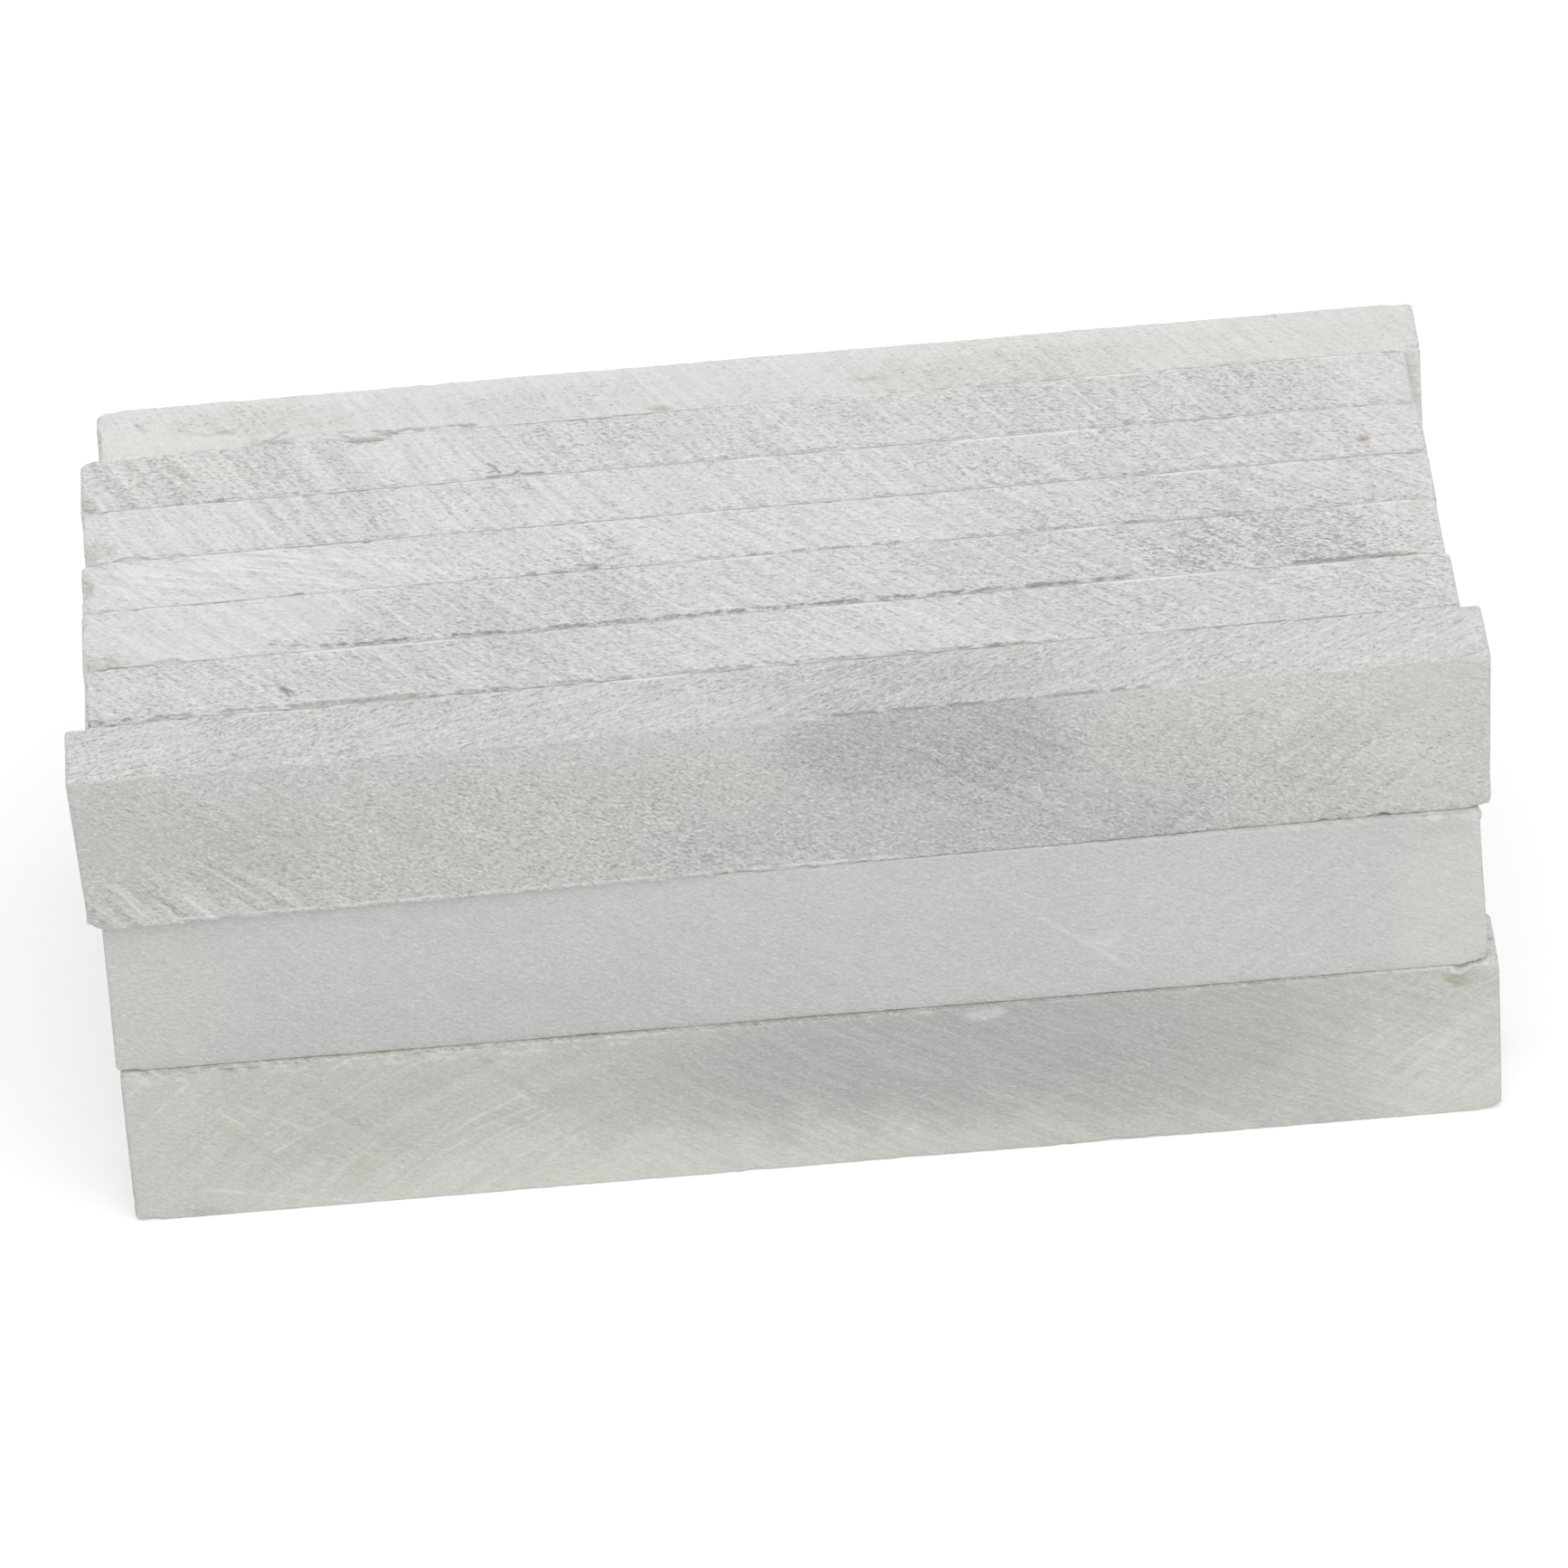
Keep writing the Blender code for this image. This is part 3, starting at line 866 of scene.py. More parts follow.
@dataclass
class ChalkStick:
    """One sawn stick of the block, laid onto its CAD solid and worn."""

    layer: Layer
    row: int
    slot: Slot
    finishes: tuple[StoneFinish, StoneFinish, StoneFinish]
    scars: tuple[Scar, ...] = ()
    edges: dict[Edge, EdgeWear] = field(default_factory=dict)
    step: Triple = (0.45, 0.5, 0.6)
    usual_edge: EdgeWear = EdgeWear()
    end_crumbs: float = 0.18
    wave: float = 0.03
    tooth: float = 0.010
    core_inset: float = 2.0
    wide_swell: float = 0.09
    stack_swell: float = 0.17

    RAY_REACH = 8.0
    MOST_YAW = 1.0
    YAW_TRIES = 401
    ROW_OFFSET: Triple = (17.3, 29.1, 11.7)
    LAYER_OFFSET = 61.0
    EDGE_FROM, EDGE_TO = 0.02, 0.10
    LENGTH_FROM, LENGTH_TO = 0.9, 0.98
    CRISP_FROM, CRISP_TO = 0.10, 0.22
    CHIP_FROM, CHIP_TO = 0.12, 0.3
    BREAK_FROM, BREAK_TO = 0.05, 0.3
    WAVE_SIZE, TOOTH_SIZE = 6.0, 0.8
    CHIP_SIZE, CRUMB_SIZE, PATCH_SIZE, RIM_SIZE = 0.8, 0.34, 6.0, 3.0
    LUMP_SIZE, LUMP_GRIT = 0.9, 0.4
    BROKEN_LUMP, BROKEN_GRIT = 1.3, 0.45
    CHIP_SHARE, CRUMB_SHARE, EVEN_SHARE = 2.4, 0.8, 0.14
    CRUMB_BREAK = 0.6
    WORSE_BLUR = 0.5
    RIM_WIDTH = 0.25
    LEAST_CLOSING = 0.4
    SWELL_STATIONS = 25
    SWELL_INSET = 1.5
    SWELL_DEPTH = 0.9
    SWELL_REACH = 1.0
    UPPER_FROM, UPPER_TO = 1.6, 0.8
    CLEAR = 0.01

    @property
    def node(self) -> str:
        """Returns the name of the stick's CAD node."""
        return f"{self.layer.value}_stick_{self.row}"

    @property
    def seed(self) -> int:
        """Returns the seed of the stick's own noise."""
        return 100 * list(Layer).index(self.layer) + self.row

    def build(self, solid: bpy.types.Object, block: BVHTree, shelf: StoneShelf) -> bpy.types.Object:
        """Builds the stick and puts it in its CAD solid's place.

        Args:
            solid: the CAD node.
            block: the surface of all the CAD nodes, in mm.
            shelf: where the finishes come from.

        Returns:
            The new piece.
        """
        centre, yaw, half, tree = self.measure(solid)
        lattice = Lattice(half, self.step)
        points, wear = self.wear(lattice.points, half, tree)
        self.close_seams(points, half, Matrix.Translation(centre) @ Matrix.Rotation(yaw, 4, "Z"), block)
        mesh = bpy.data.meshes.new(f"{self.node}_stone")
        mesh.from_pydata(points * MM, [], lattice.quads)
        mesh.polygons.foreach_set("material_index", lattice.cuts.astype(np.int32))
        mesh.polygons.foreach_set("use_smooth", np.ones(len(lattice.quads), bool))
        chart = mesh.uv_layers.new(name="OFBake")
        chart.uv.foreach_set("vector", lattice.flat.astype(np.float32).ravel())
        offset = np.array(self.ROW_OFFSET) * (self.seed % 100) + self.LAYER_OFFSET * (self.seed // 100)
        for name, rows in (("wear", wear), ("lot", np.tile(offset, (len(points), 1)))):
            kept = mesh.attributes.new(name, "FLOAT_VECTOR", "POINT")
            kept.data.foreach_set("vector", rows.astype(np.float32).ravel())
        for finish in self.finishes:
            mesh.materials.append(shelf.material(finish))
        mesh.update()
        piece = bpy.data.objects.new(f"{self.node}_stone", mesh)
        bpy.context.scene.collection.objects.link(piece)
        piece.matrix_world = Matrix.Translation(Vector(centre * MM)) @ Matrix.Rotation(yaw, 4, "Z")
        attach(piece, self.node)
        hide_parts(self.node)
        return piece

    def measure(self, solid: bpy.types.Object) -> tuple[np.ndarray, float, np.ndarray, BVHTree]:
        """Measures how the CAD solid lies.

        Args:
            solid: the CAD node.

        Returns:
            Its middle in mm, its yaw in radians, its half sizes in mm, and its surface in its own axes.
        """
        places = np.array([v.co for v in solid.data.vertices]) / MM
        yaws = np.radians(np.linspace(-self.MOST_YAW, self.MOST_YAW, self.YAW_TRIES))
        widths = [np.ptp(places[:, 1] * math.cos(a) - places[:, 0] * math.sin(a)) for a in yaws]
        yaw = float(yaws[int(np.argmin(widths))])
        cos, sin = math.cos(yaw), math.sin(yaw)
        turn = np.array([[cos, sin, 0.0], [-sin, cos, 0.0], [0.0, 0.0, 1.0]])
        turned = places @ turn.T
        low, high = turned.min(0), turned.max(0)
        own = turned - (low + high) / 2.0
        faces = [tuple(p.vertices) for p in solid.data.polygons]
        tree = BVHTree.FromPolygons([Vector(p) for p in own], faces)
        return (low + high) / 2.0 @ turn, yaw, (high - low) / 2.0, tree

    def wear(self, box: np.ndarray, half: np.ndarray, tree: BVHTree) -> tuple[np.ndarray, np.ndarray]:
        """Lays the points of the box onto the solid, wears them and works out their dust, painted shade and
        pale rims.

        Args:
            box: points on the box, in mm.
            half: the box's half sizes.
            tree: the solid's surface.

        Returns:
            The worn points, and for each how deep it is broken, how much dust and painted shade darken it and
            how pale its rim is with a painted highlight.
        """
        core = np.clip(box, self.core_inset - half, half - self.core_inset)
        out = box - core
        out /= np.linalg.norm(out, axis=1)[:, None]
        depth = np.zeros(len(box))
        for index, (start, way) in enumerate(zip(box + out, -out)):
            found = tree.ray_cast(start, way, self.RAY_REACH)
            depth[index] = found[3] - 1.0 if found[3] is not None else 0.0
        rough = RoughField(self.seed)
        fine = RoughField(self.seed + 50)
        along_stick = 1.0 - out[:, 0] ** 2
        edge = smooth(np.abs(out[:, 1] * out[:, 2]), self.EDGE_FROM, self.EDGE_TO)
        edge = edge * smooth(along_stick, self.LENGTH_FROM, self.LENGTH_TO)
        crisp = depth * smooth(depth, self.CRISP_FROM, self.CRISP_TO)
        depth = depth + (crisp - depth) * edge
        chip = depth * along_stick
        chip = chip * smooth(chip, self.CHIP_FROM, self.CHIP_TO)
        lumps = 0.25 - 0.6 * rough.at(box, self.LUMP_SIZE) - 0.4 * fine.at(box, self.LUMP_GRIT)
        lumps = np.clip(lumps, 0.0, 0.7)
        depth = depth - chip * lumps
        sunk = chip * (1.0 - lumps)

        crumbs, grime, rim = self.crumbled(box, half, out, rough, fine)
        scars, dirt = self.scarred(box, rough)
        depth = depth + np.maximum(crumbs, scars)
        sunk = sunk + np.maximum(self.CRUMB_BREAK * crumbs, scars)
        broken = smooth(sunk, self.BREAK_FROM, self.BREAK_TO)
        depth = depth + self.wave * (rough.at(box, self.WAVE_SIZE) + 1.0)
        depth = depth + self.tooth * (fine.at(box, self.TOOTH_SIZE) + 1.0)
        fracture = 0.04 * fine.at(box, self.BROKEN_GRIT) + 0.03 * rough.at(box, self.BROKEN_LUMP)
        depth = depth + broken * fracture
        return box - out * depth[:, None], np.stack([sunk, np.maximum(grime, dirt), rim], 1)

    def close_seams(self, points: np.ndarray, half: np.ndarray, place: Matrix, block: BVHTree) -> None:
        """Swells the stick towards those beside it, above it and below it, so that the seams are narrow.

        Args:
            points: the worn points in the stick's own axes, which it moves.
            half: the box's half sizes.
            place: where the stick lies in the block, in mm.
            block: the surface of all the CAD nodes.
        """
        stations = np.linspace(self.SWELL_INSET - half[0], half[0] - self.SWELL_INSET, self.SWELL_STATIONS)
        upper = smooth(points[:, 2], half[2] - self.UPPER_FROM, half[2] - self.UPPER_TO)
        upper = upper * (self.layer is Layer.TOP)
        for side, edge in ((-1, Edge.FRONT_TOP), (1, Edge.BACK_TOP)):
            slack = self.edges.get(edge, self.usual_edge).slack
            way = place.to_3x3() @ Vector((0.0, side, 0.0))
            swell = []
            for x in stations:
                start = Vector((x, side * (half[1] + self.CLEAR), half[2] - self.SWELL_DEPTH))
                found = block.ray_cast(place @ start, way, self.SWELL_REACH)
                left_open = np.interp(x, stations[[0, -1]], slack)
                swell.append(max(0.0, (found[3] - left_open) / 2.0) if found[3] else 0.0)
            near_top = np.interp(points[:, 0], stations, swell)
            outer = np.clip(side * points[:, 1] / half[1], 0.0, 1.0)
            lower = np.minimum(near_top, self.wide_swell)
            points[:, 1] += side * outer * (lower + (near_top - lower) * upper)
        reach = np.clip(points[:, 2] / half[2], -1.0, 1.0)
        if self.layer is not Layer.TOP:
            points[:, 2] += self.stack_swell * np.maximum(reach, 0.0)
        if self.layer is not Layer.BOTTOM:
            points[:, 2] += self.stack_swell * np.minimum(reach, 0.0)

    def crumbled(self, box: np.ndarray, half: np.ndarray, out: np.ndarray, rough: RoughField,
                 fine: RoughField) -> tuple[np.ndarray, np.ndarray, np.ndarray]:
        """Works out how much the twelve edges have crumbled, and their dust, painted shade and pale rims.

        Args:
            box: points on the box, in mm.
            half: the box's half sizes.
            out: the outward way at each point.
            rough: noise for the larger chips.
            fine: noise for the crumbs.

        Returns:
            How far each point goes in, how much dust and painted shade darken it and how pale its rim is with
            a painted highlight.
        """
        patchy = np.maximum(rough.at(box + 77.0, self.PATCH_SIZE) + 0.45, 0.0)
        chips = np.maximum(rough.at(box + 31.0, self.CHIP_SIZE) - 0.15, 0.0) * patchy
        crumbs = np.maximum(fine.at(box + 13.0, self.CRUMB_SIZE), 0.0) * (0.4 + patchy)
        size = self.CHIP_SHARE * chips + self.CRUMB_SHARE * crumbs + self.EVEN_SHARE
        taken, grime, rim = np.zeros((3, len(box)))
        for first, second in ((1, 2), (0, 1), (0, 2)):
            for signs in itertools.product((-1, 1), repeat=2):
                wear = EdgeWear(self.end_crumbs)
                if first == 1:
                    wear = self.edges.get(Edge(signs), self.usual_edge)
                near = half[first] - signs[0] * box[:, first]
                below = half[second] - signs[1] * box[:, second]
                amount = np.full(len(box), wear.crumbs)
                for start, finish, times in wear.worse:
                    inside = smooth(box[:, 0], start - self.WORSE_BLUR, start + self.WORSE_BLUR)
                    inside = inside * smooth(box[:, 0], finish + self.WORSE_BLUR, finish - self.WORSE_BLUR)
                    amount *= 1.0 + (times - 1.0) * inside
                closing = np.maximum(np.abs(out[:, first]) + np.abs(out[:, second]), self.LEAST_CLOSING)
                step = np.maximum(amount * size - near - below, 0.0) / closing
                taken = np.maximum(taken, step)
                times = amount / wear.crumbs
                # Dust with painted shade on the chips in the seam
                grime = np.maximum(grime, np.minimum(wear.grime * times ** 2 * step, wear.darkest))
                pale = wear.rim * times * np.clip(0.35 + 1.2 * rough.at(box + 51.0, self.RIM_SIZE), 0.0, 1.0)
                rim = np.maximum(rim, pale * np.exp(-(near + below) / self.RIM_WIDTH))
        return taken, grime, rim

    def scarred(self, box: np.ndarray, rough: RoughField) -> tuple[np.ndarray, np.ndarray]:
        """Works out how deep the scars are and how much dust and painted shade darken them.

        Args:
            box: points on the box, in mm.
            rough: noise for their outlines.

        Returns:
            How far each point goes in, and how much dust and painted shade darken it.
        """
        taken, grime = np.zeros((2, len(box)))
        for scar in self.scars:
            away = np.linalg.norm((box - np.array(scar.at)) / np.array(scar.reach), axis=1)
            away = away + scar.ragged * rough.at(box + 5.0, 0.9 * min(scar.reach))
            inside = smooth(away, 1.0, 1.0 - scar.lip)
            taken = np.maximum(taken, scar.depth * inside)
            grime = np.maximum(grime, scar.grime * inside)
            # Painted shadow of the step, with dust, along the scar's outline
            brink = scar.brink * np.clip(0.5 + 1.5 * rough.at(box + 9.0, 1.4), 0.0, 1.0)
            grime = np.maximum(grime, brink * 4.0 * inside * (1.0 - inside))
        return taken, grime


@dataclass
class ChalkBlock:
    """The stack of sticks: seven rows deep and three layers high."""

    rows: int = 7
    shown_step: Triple = (0.15, 0.2, 0.5)

    def plan(self, layer: Layer, row: int) -> ChalkStick:
        """Plans one stick.

        Args:
            layer: the layer it lies in.
            row: its row, counted from the front.

        Returns:
            The stick, with the finishes of the place that it has.
        """
        slot = Slot.GREEN if layer is Layer.BOTTOM else Slot.GREY
        if layer is Layer.TOP and row > 1:
            slot = Slot.WARM if row == self.rows else Slot.PALE
        narrow = TOP_NARROW[row] if layer is Layer.TOP else HIDDEN_NARROW
        wide = FRONT_WIDE[layer] if row == 1 else HIDDEN_WIDE[slot]
        if row == 1:
            narrow = LEDGES.get(layer, narrow)
        stick = ChalkStick(layer, row, slot, (narrow, wide, SAWN_ENDS[slot]))
        if layer is Layer.TOP or row == 1:
            stick.step = self.shown_step
            stick.scars = SCARS.get((layer, row), ())
            stick.edges = EDGES.get((layer, row), {})
        return stick

    def build(self, nodes: dict[str, bpy.types.Object], shelf: StoneShelf) -> None:
        """Builds every stick, layer by layer from below.

        Args:
            nodes: the CAD nodes by name.
            shelf: where the finishes come from.
        """
        planned = [self.plan(layer, row) for layer, row in itertools.product(Layer, range(1, self.rows + 1))]
        places, faces = [], []
        for stick in planned:
            solid = nodes[stick.node].data
            faces += [[len(places) + i for i in p.vertices] for p in solid.polygons]
            places += [v.co / MM for v in solid.vertices]
        surface = BVHTree.FromPolygons(places, faces)
        for stick in planned:
            piece = stick.build(nodes[stick.node], surface, shelf)
            log.info("%s: %d faces, finish %s", piece.name, len(piece.data.polygons), stick.slot.value)


@dataclass(frozen=True)
class Studio:
    """Floor, soft light and camera.

    The floor and the lamp are in metres, the camera's aim, distance, shifts and lens in millimetres.
    """

    floor_side: float = 6.0
    floor_colour: Triple = (0.86, 0.86, 0.86)
    floor_lift: float = 0.28
    floor_fade: float = 0.2
    fade_from: float = 0.15
    fade_to: float = 0.9
    sky: float = 0.685
    lamp_side: float = 1.6
    lamp_at: Triple = (0.25, -0.75, 1.5)
    lamp_power: float = 10.6
    aim: Triple = (0.05, -0.061, 15.0)
    pitch: float = 35.53
    yaw: float = 0.80
    roll: float = -4.46
    distance: float = 586.4
    shift_right: float = 0.33
    shift_up: float = -1.40
    lens: float = 241.85
    sensor: float = 36.0
    clip_start: float = 0.01

    def build(self) -> None:
        """Builds the floor, the light and the camera."""
        self.build_floor()
        self.build_light()
        self.build_camera()
        bpy.context.scene.view_settings.view_transform = "Standard"

    def seen(self, w: Wiring) -> Socket:
        """Tells rays that show a surface from rays that light it.

        Args:
            w: the wiring of the floor or of the world.

        Returns:
            1 where a surface is seen straight, in a reflection or through glass, and else 0.
        """
        path = w.node("ShaderNodeLightPath")
        mirrored = w.math("MAXIMUM", path.outputs["Is Glossy Ray"], path.outputs["Is Transmission Ray"])
        return w.math("MAXIMUM", path.outputs["Is Camera Ray"], mirrored)

    def build_floor(self) -> None:
        """Builds the plain pale floor, which keeps the block's shadow and goes white further out."""
        half = self.floor_side / 2.0
        corners = [(-half, -half, 0.0), (half, -half, 0.0), (half, half, 0.0), (-half, half, 0.0)]
        mesh = bpy.data.meshes.new("floor")
        mesh.from_pydata(corners, [], [(0, 1, 2, 3)])
        floor = bpy.data.objects.new("floor", mesh)
        bpy.context.scene.collection.objects.link(floor)
        material = bpy.data.materials.new("pale_floor")
        material.use_nodes = True
        w = Wiring(material.node_tree)
        matt = w.node("ShaderNodeBsdfDiffuse", {"Color": self.floor_colour}).outputs[0]
        away = w.measured("LENGTH", w.node("ShaderNodeTexCoord").outputs["Object"])
        fade = w.step(away, self.fade_from, self.fade_to)
        lift = w.math("MULTIPLY_ADD", fade, self.floor_fade, self.floor_lift)
        lift = w.math("MULTIPLY", self.seen(w), lift)
        glow = w.node("ShaderNodeEmission", {"Strength": lift}).outputs[0]
        both = w.node("ShaderNodeAddShader", {0: matt, 1: glow}).outputs[0]
        w.node("ShaderNodeOutputMaterial", {"Surface": both})
        mesh.materials.append(material)

    def build_light(self) -> None:
        """Builds the white surroundings and one wide soft lamp."""
        world = bpy.data.worlds.new("studio")
        world.use_nodes = True
        w = Wiring(world.node_tree)
        strength = w.math("MULTIPLY_ADD", self.seen(w), 1.0 - self.sky, self.sky)
        sky = w.node("ShaderNodeBackground", {"Color": (1.0, 1.0, 1.0), "Strength": strength}).outputs[0]
        w.node("ShaderNodeOutputWorld", {"Surface": sky})
        bpy.context.scene.world = world
        lamp = bpy.data.lights.new("soft_lamp", "AREA")
        lamp.size = self.lamp_side
        lamp.energy = self.lamp_power
        holder = bpy.data.objects.new("soft_lamp", lamp)
        holder.location = self.lamp_at
        holder.rotation_euler = (-Vector(self.lamp_at)).to_track_quat("-Z", "Y").to_euler()
        bpy.context.scene.collection.objects.link(holder)

    def build_camera(self) -> None:
        """Builds the camera where the photograph was taken from."""
        pitch, yaw, roll = (math.radians(a) for a in (self.pitch, self.yaw, self.roll))
        ahead = Vector((math.sin(yaw) * math.cos(pitch), math.cos(yaw) * math.cos(pitch), -math.sin(pitch)))
        level = Vector((math.cos(yaw), -math.sin(yaw), 0.0))
        upward = level.cross(ahead)
        right = math.cos(roll) * level + math.sin(roll) * upward
        top = math.cos(roll) * upward - math.sin(roll) * level
        at = Vector(self.aim) - self.distance * ahead + self.shift_right * right + self.shift_up * top
        lens = bpy.data.cameras.new("photo_camera")
        lens.sensor_width = self.sensor
        lens.lens = self.lens
        lens.clip_start = self.clip_start
        camera = bpy.data.objects.new("photo_camera", lens)
        axes = Matrix((right, top, -ahead)).transposed().to_4x4()
        camera.matrix_world = Matrix.Translation(at * MM) @ axes
        bpy.context.scene.collection.objects.link(camera)
        bpy.context.scene.camera = camera


# The faces that the photograph shows, and the floor of the flake scar on the back row
TOP = Face(2, 4.9)
FRONT = Face(1, -2.4)
MIDDLE = Face(1, -2.2)
SCAR_BRINK = Face(2, 4.8)
SCAR_SIDE = Face(2, 4.76)
SCAR_FLOOR = Face(2, 4.66)

# Saw marks: nearly straight slants across the narrow faces, arcs on the wide ones
STEEP_CENTRE: Triple = (177.0, 94.0, 4.9)
FALLING_CENTRE: Triple = (110.0, -2.4, 167.0)
RISING_CENTRE: Triple = (60.0, -2.4, -37.0)
STEEP_SLANT = SawSet(STEEP_CENTRE, scores=0.32)
SLANT = SawSet((149.0, 134.0, 4.9), scores=0.30)
FLAT_SLANT = SawSet((-84.0, 181.0, 4.9), pitch=0.28, reach=4.0, light=0.05)
FALLING = SawSet(FALLING_CENTRE, light=0.03, scores=0.08)

# Which way the grains lie on the wide faces
FRONT_WAY: Triple = (0.85, 0.0, -0.53)

# Finishes of what the photograph does not show
HIDDEN_NARROW = StoneFinish("narrow_sawn_stone", (0.68, 0.68, 0.67), openness=0.2, spread=0.2, saws=(SLANT,))
HIDDEN_WIDE = {
    slot: StoneFinish(f"{slot.value}_wide", colour, 0.20, 0.33, pit_dark=0.1, spread=0.1, saws=(FALLING,))
    for slot, colour in (
        (Slot.PALE, (0.65, 0.65, 0.64)),
        (Slot.WARM, (0.78, 0.775, 0.75)),
        (Slot.GREY, (0.63, 0.64, 0.62)),
        (Slot.GREEN, (0.60, 0.61, 0.57)),
    )
}
SAWN_ENDS = {
    slot: StoneFinish(
        f"{slot.value}_end", colour, 0.17, 0.30, openness=0.1, relief=0.03, spread=0.3, way=(0.0, 0.6, 0.8),
        saws=(SawSet((38.0, 170.0, -110.0), 0.35, 6.0, 0.04, 0.2),))
    for slot, colour in (
        (Slot.PALE, (0.69, 0.69, 0.68)),
        (Slot.WARM, (0.73, 0.725, 0.70)),
        (Slot.GREY, (0.67, 0.675, 0.66)),
        (Slot.GREEN, (0.645, 0.65, 0.615)),
    )
}

# Ledges of the front row under the stick above, darker with dust and with painted shade where that stick
# shades them
LEDGES = {
    Layer.BOTTOM: StoneFinish(
        "bottom_stick_1_ledge", (0.60, 0.605, 0.535), saws=(SLANT,),
        clouds=(
            # Darker where the middle stick shades the ledge: painted shade with dust
            TOP.cloud((12.0, 0.0), (22.0, 6.0), (0.44, 0.445, 0.415), 0.9),
            TOP.cloud((36.0, 0.0), (6.0, 6.0), (0.68, 0.685, 0.66), 0.9),
        ),
        lines=(
            # Dark line along the back of the ledge: painted shadow under the middle stick, with dust
            TOP.score((-36.5, -1.98), (-8.0, -2.08), 0.30, -0.4, 0.5, 0.45),
            TOP.score((-37.5, -2.45), (-8.0, -2.45), 0.22, 0.5, 0.6, 0.46),
        )),
    Layer.MIDDLE: StoneFinish(
        "middle_stick_1_ledge", (0.64, 0.64, 0.62), 0.19, 0.23, pit_dark=0.05, saws=(SLANT,)),
}

# Dark crumbs on the front edge of the front row, and the outline of the flake that is off the back row: a
# dark line of painted shadow under its step, a pale rim on its floor, and dark lines of dust and painted
# shade in the seam along the front edge
EDGE_CRACK = ScoreLine((1.9, -2.42, 4.85), (20.0, -2.42, 4.85), 0.20, -0.65, 0.35, 0.44)
SPALL_LINE = (
    (-34.8, 0.6), (-34.4, 0.1), (-33.8, -0.4), (-33.3, -0.1), (-32.4, 0.0),
    (-31.8, -0.3), (-30.8, -0.65), (-30.3, -0.55), (-29.4, -0.8))
SPALL_CRACKS = (
    # Painted shadow under the flake's step
    *SCAR_SIDE.crack(*SPALL_LINE, width=0.26, light=-0.36, ragged=0.4, gaps=0.38),
    *SCAR_FLOOR.crack(*((x, y - 0.35) for x, y in SPALL_LINE), width=0.28, light=0.5, ragged=0.4, gaps=0.36),
    *SCAR_BRINK.crack(
        (-29.9, -2.2), (-28.6, -2.2), (-27.3, -2.1), (-26.9, -1.6), (-26.4, -1.3),
        width=0.30, light=-0.45, ragged=0.7, gaps=0.40),
    *TOP.crack(
        (-26.8, -2.2), (-24.8, -2.3), (-23.8, -2.3), (-23.4, -1.8), (-22.7, -1.8),
        light=-0.5, ragged=0.4, gaps=0.30),
    *TOP.crack(
        (-21.6, -1.95), (-20.9, -2.1), (-20.5, -2.3), (-19.7, -2.05), (-18.8, -2.25), (-17.4, -2.1),
        (-15.9, -2.2), width=0.24, light=-0.55, ragged=0.4, gaps=0.32),
)
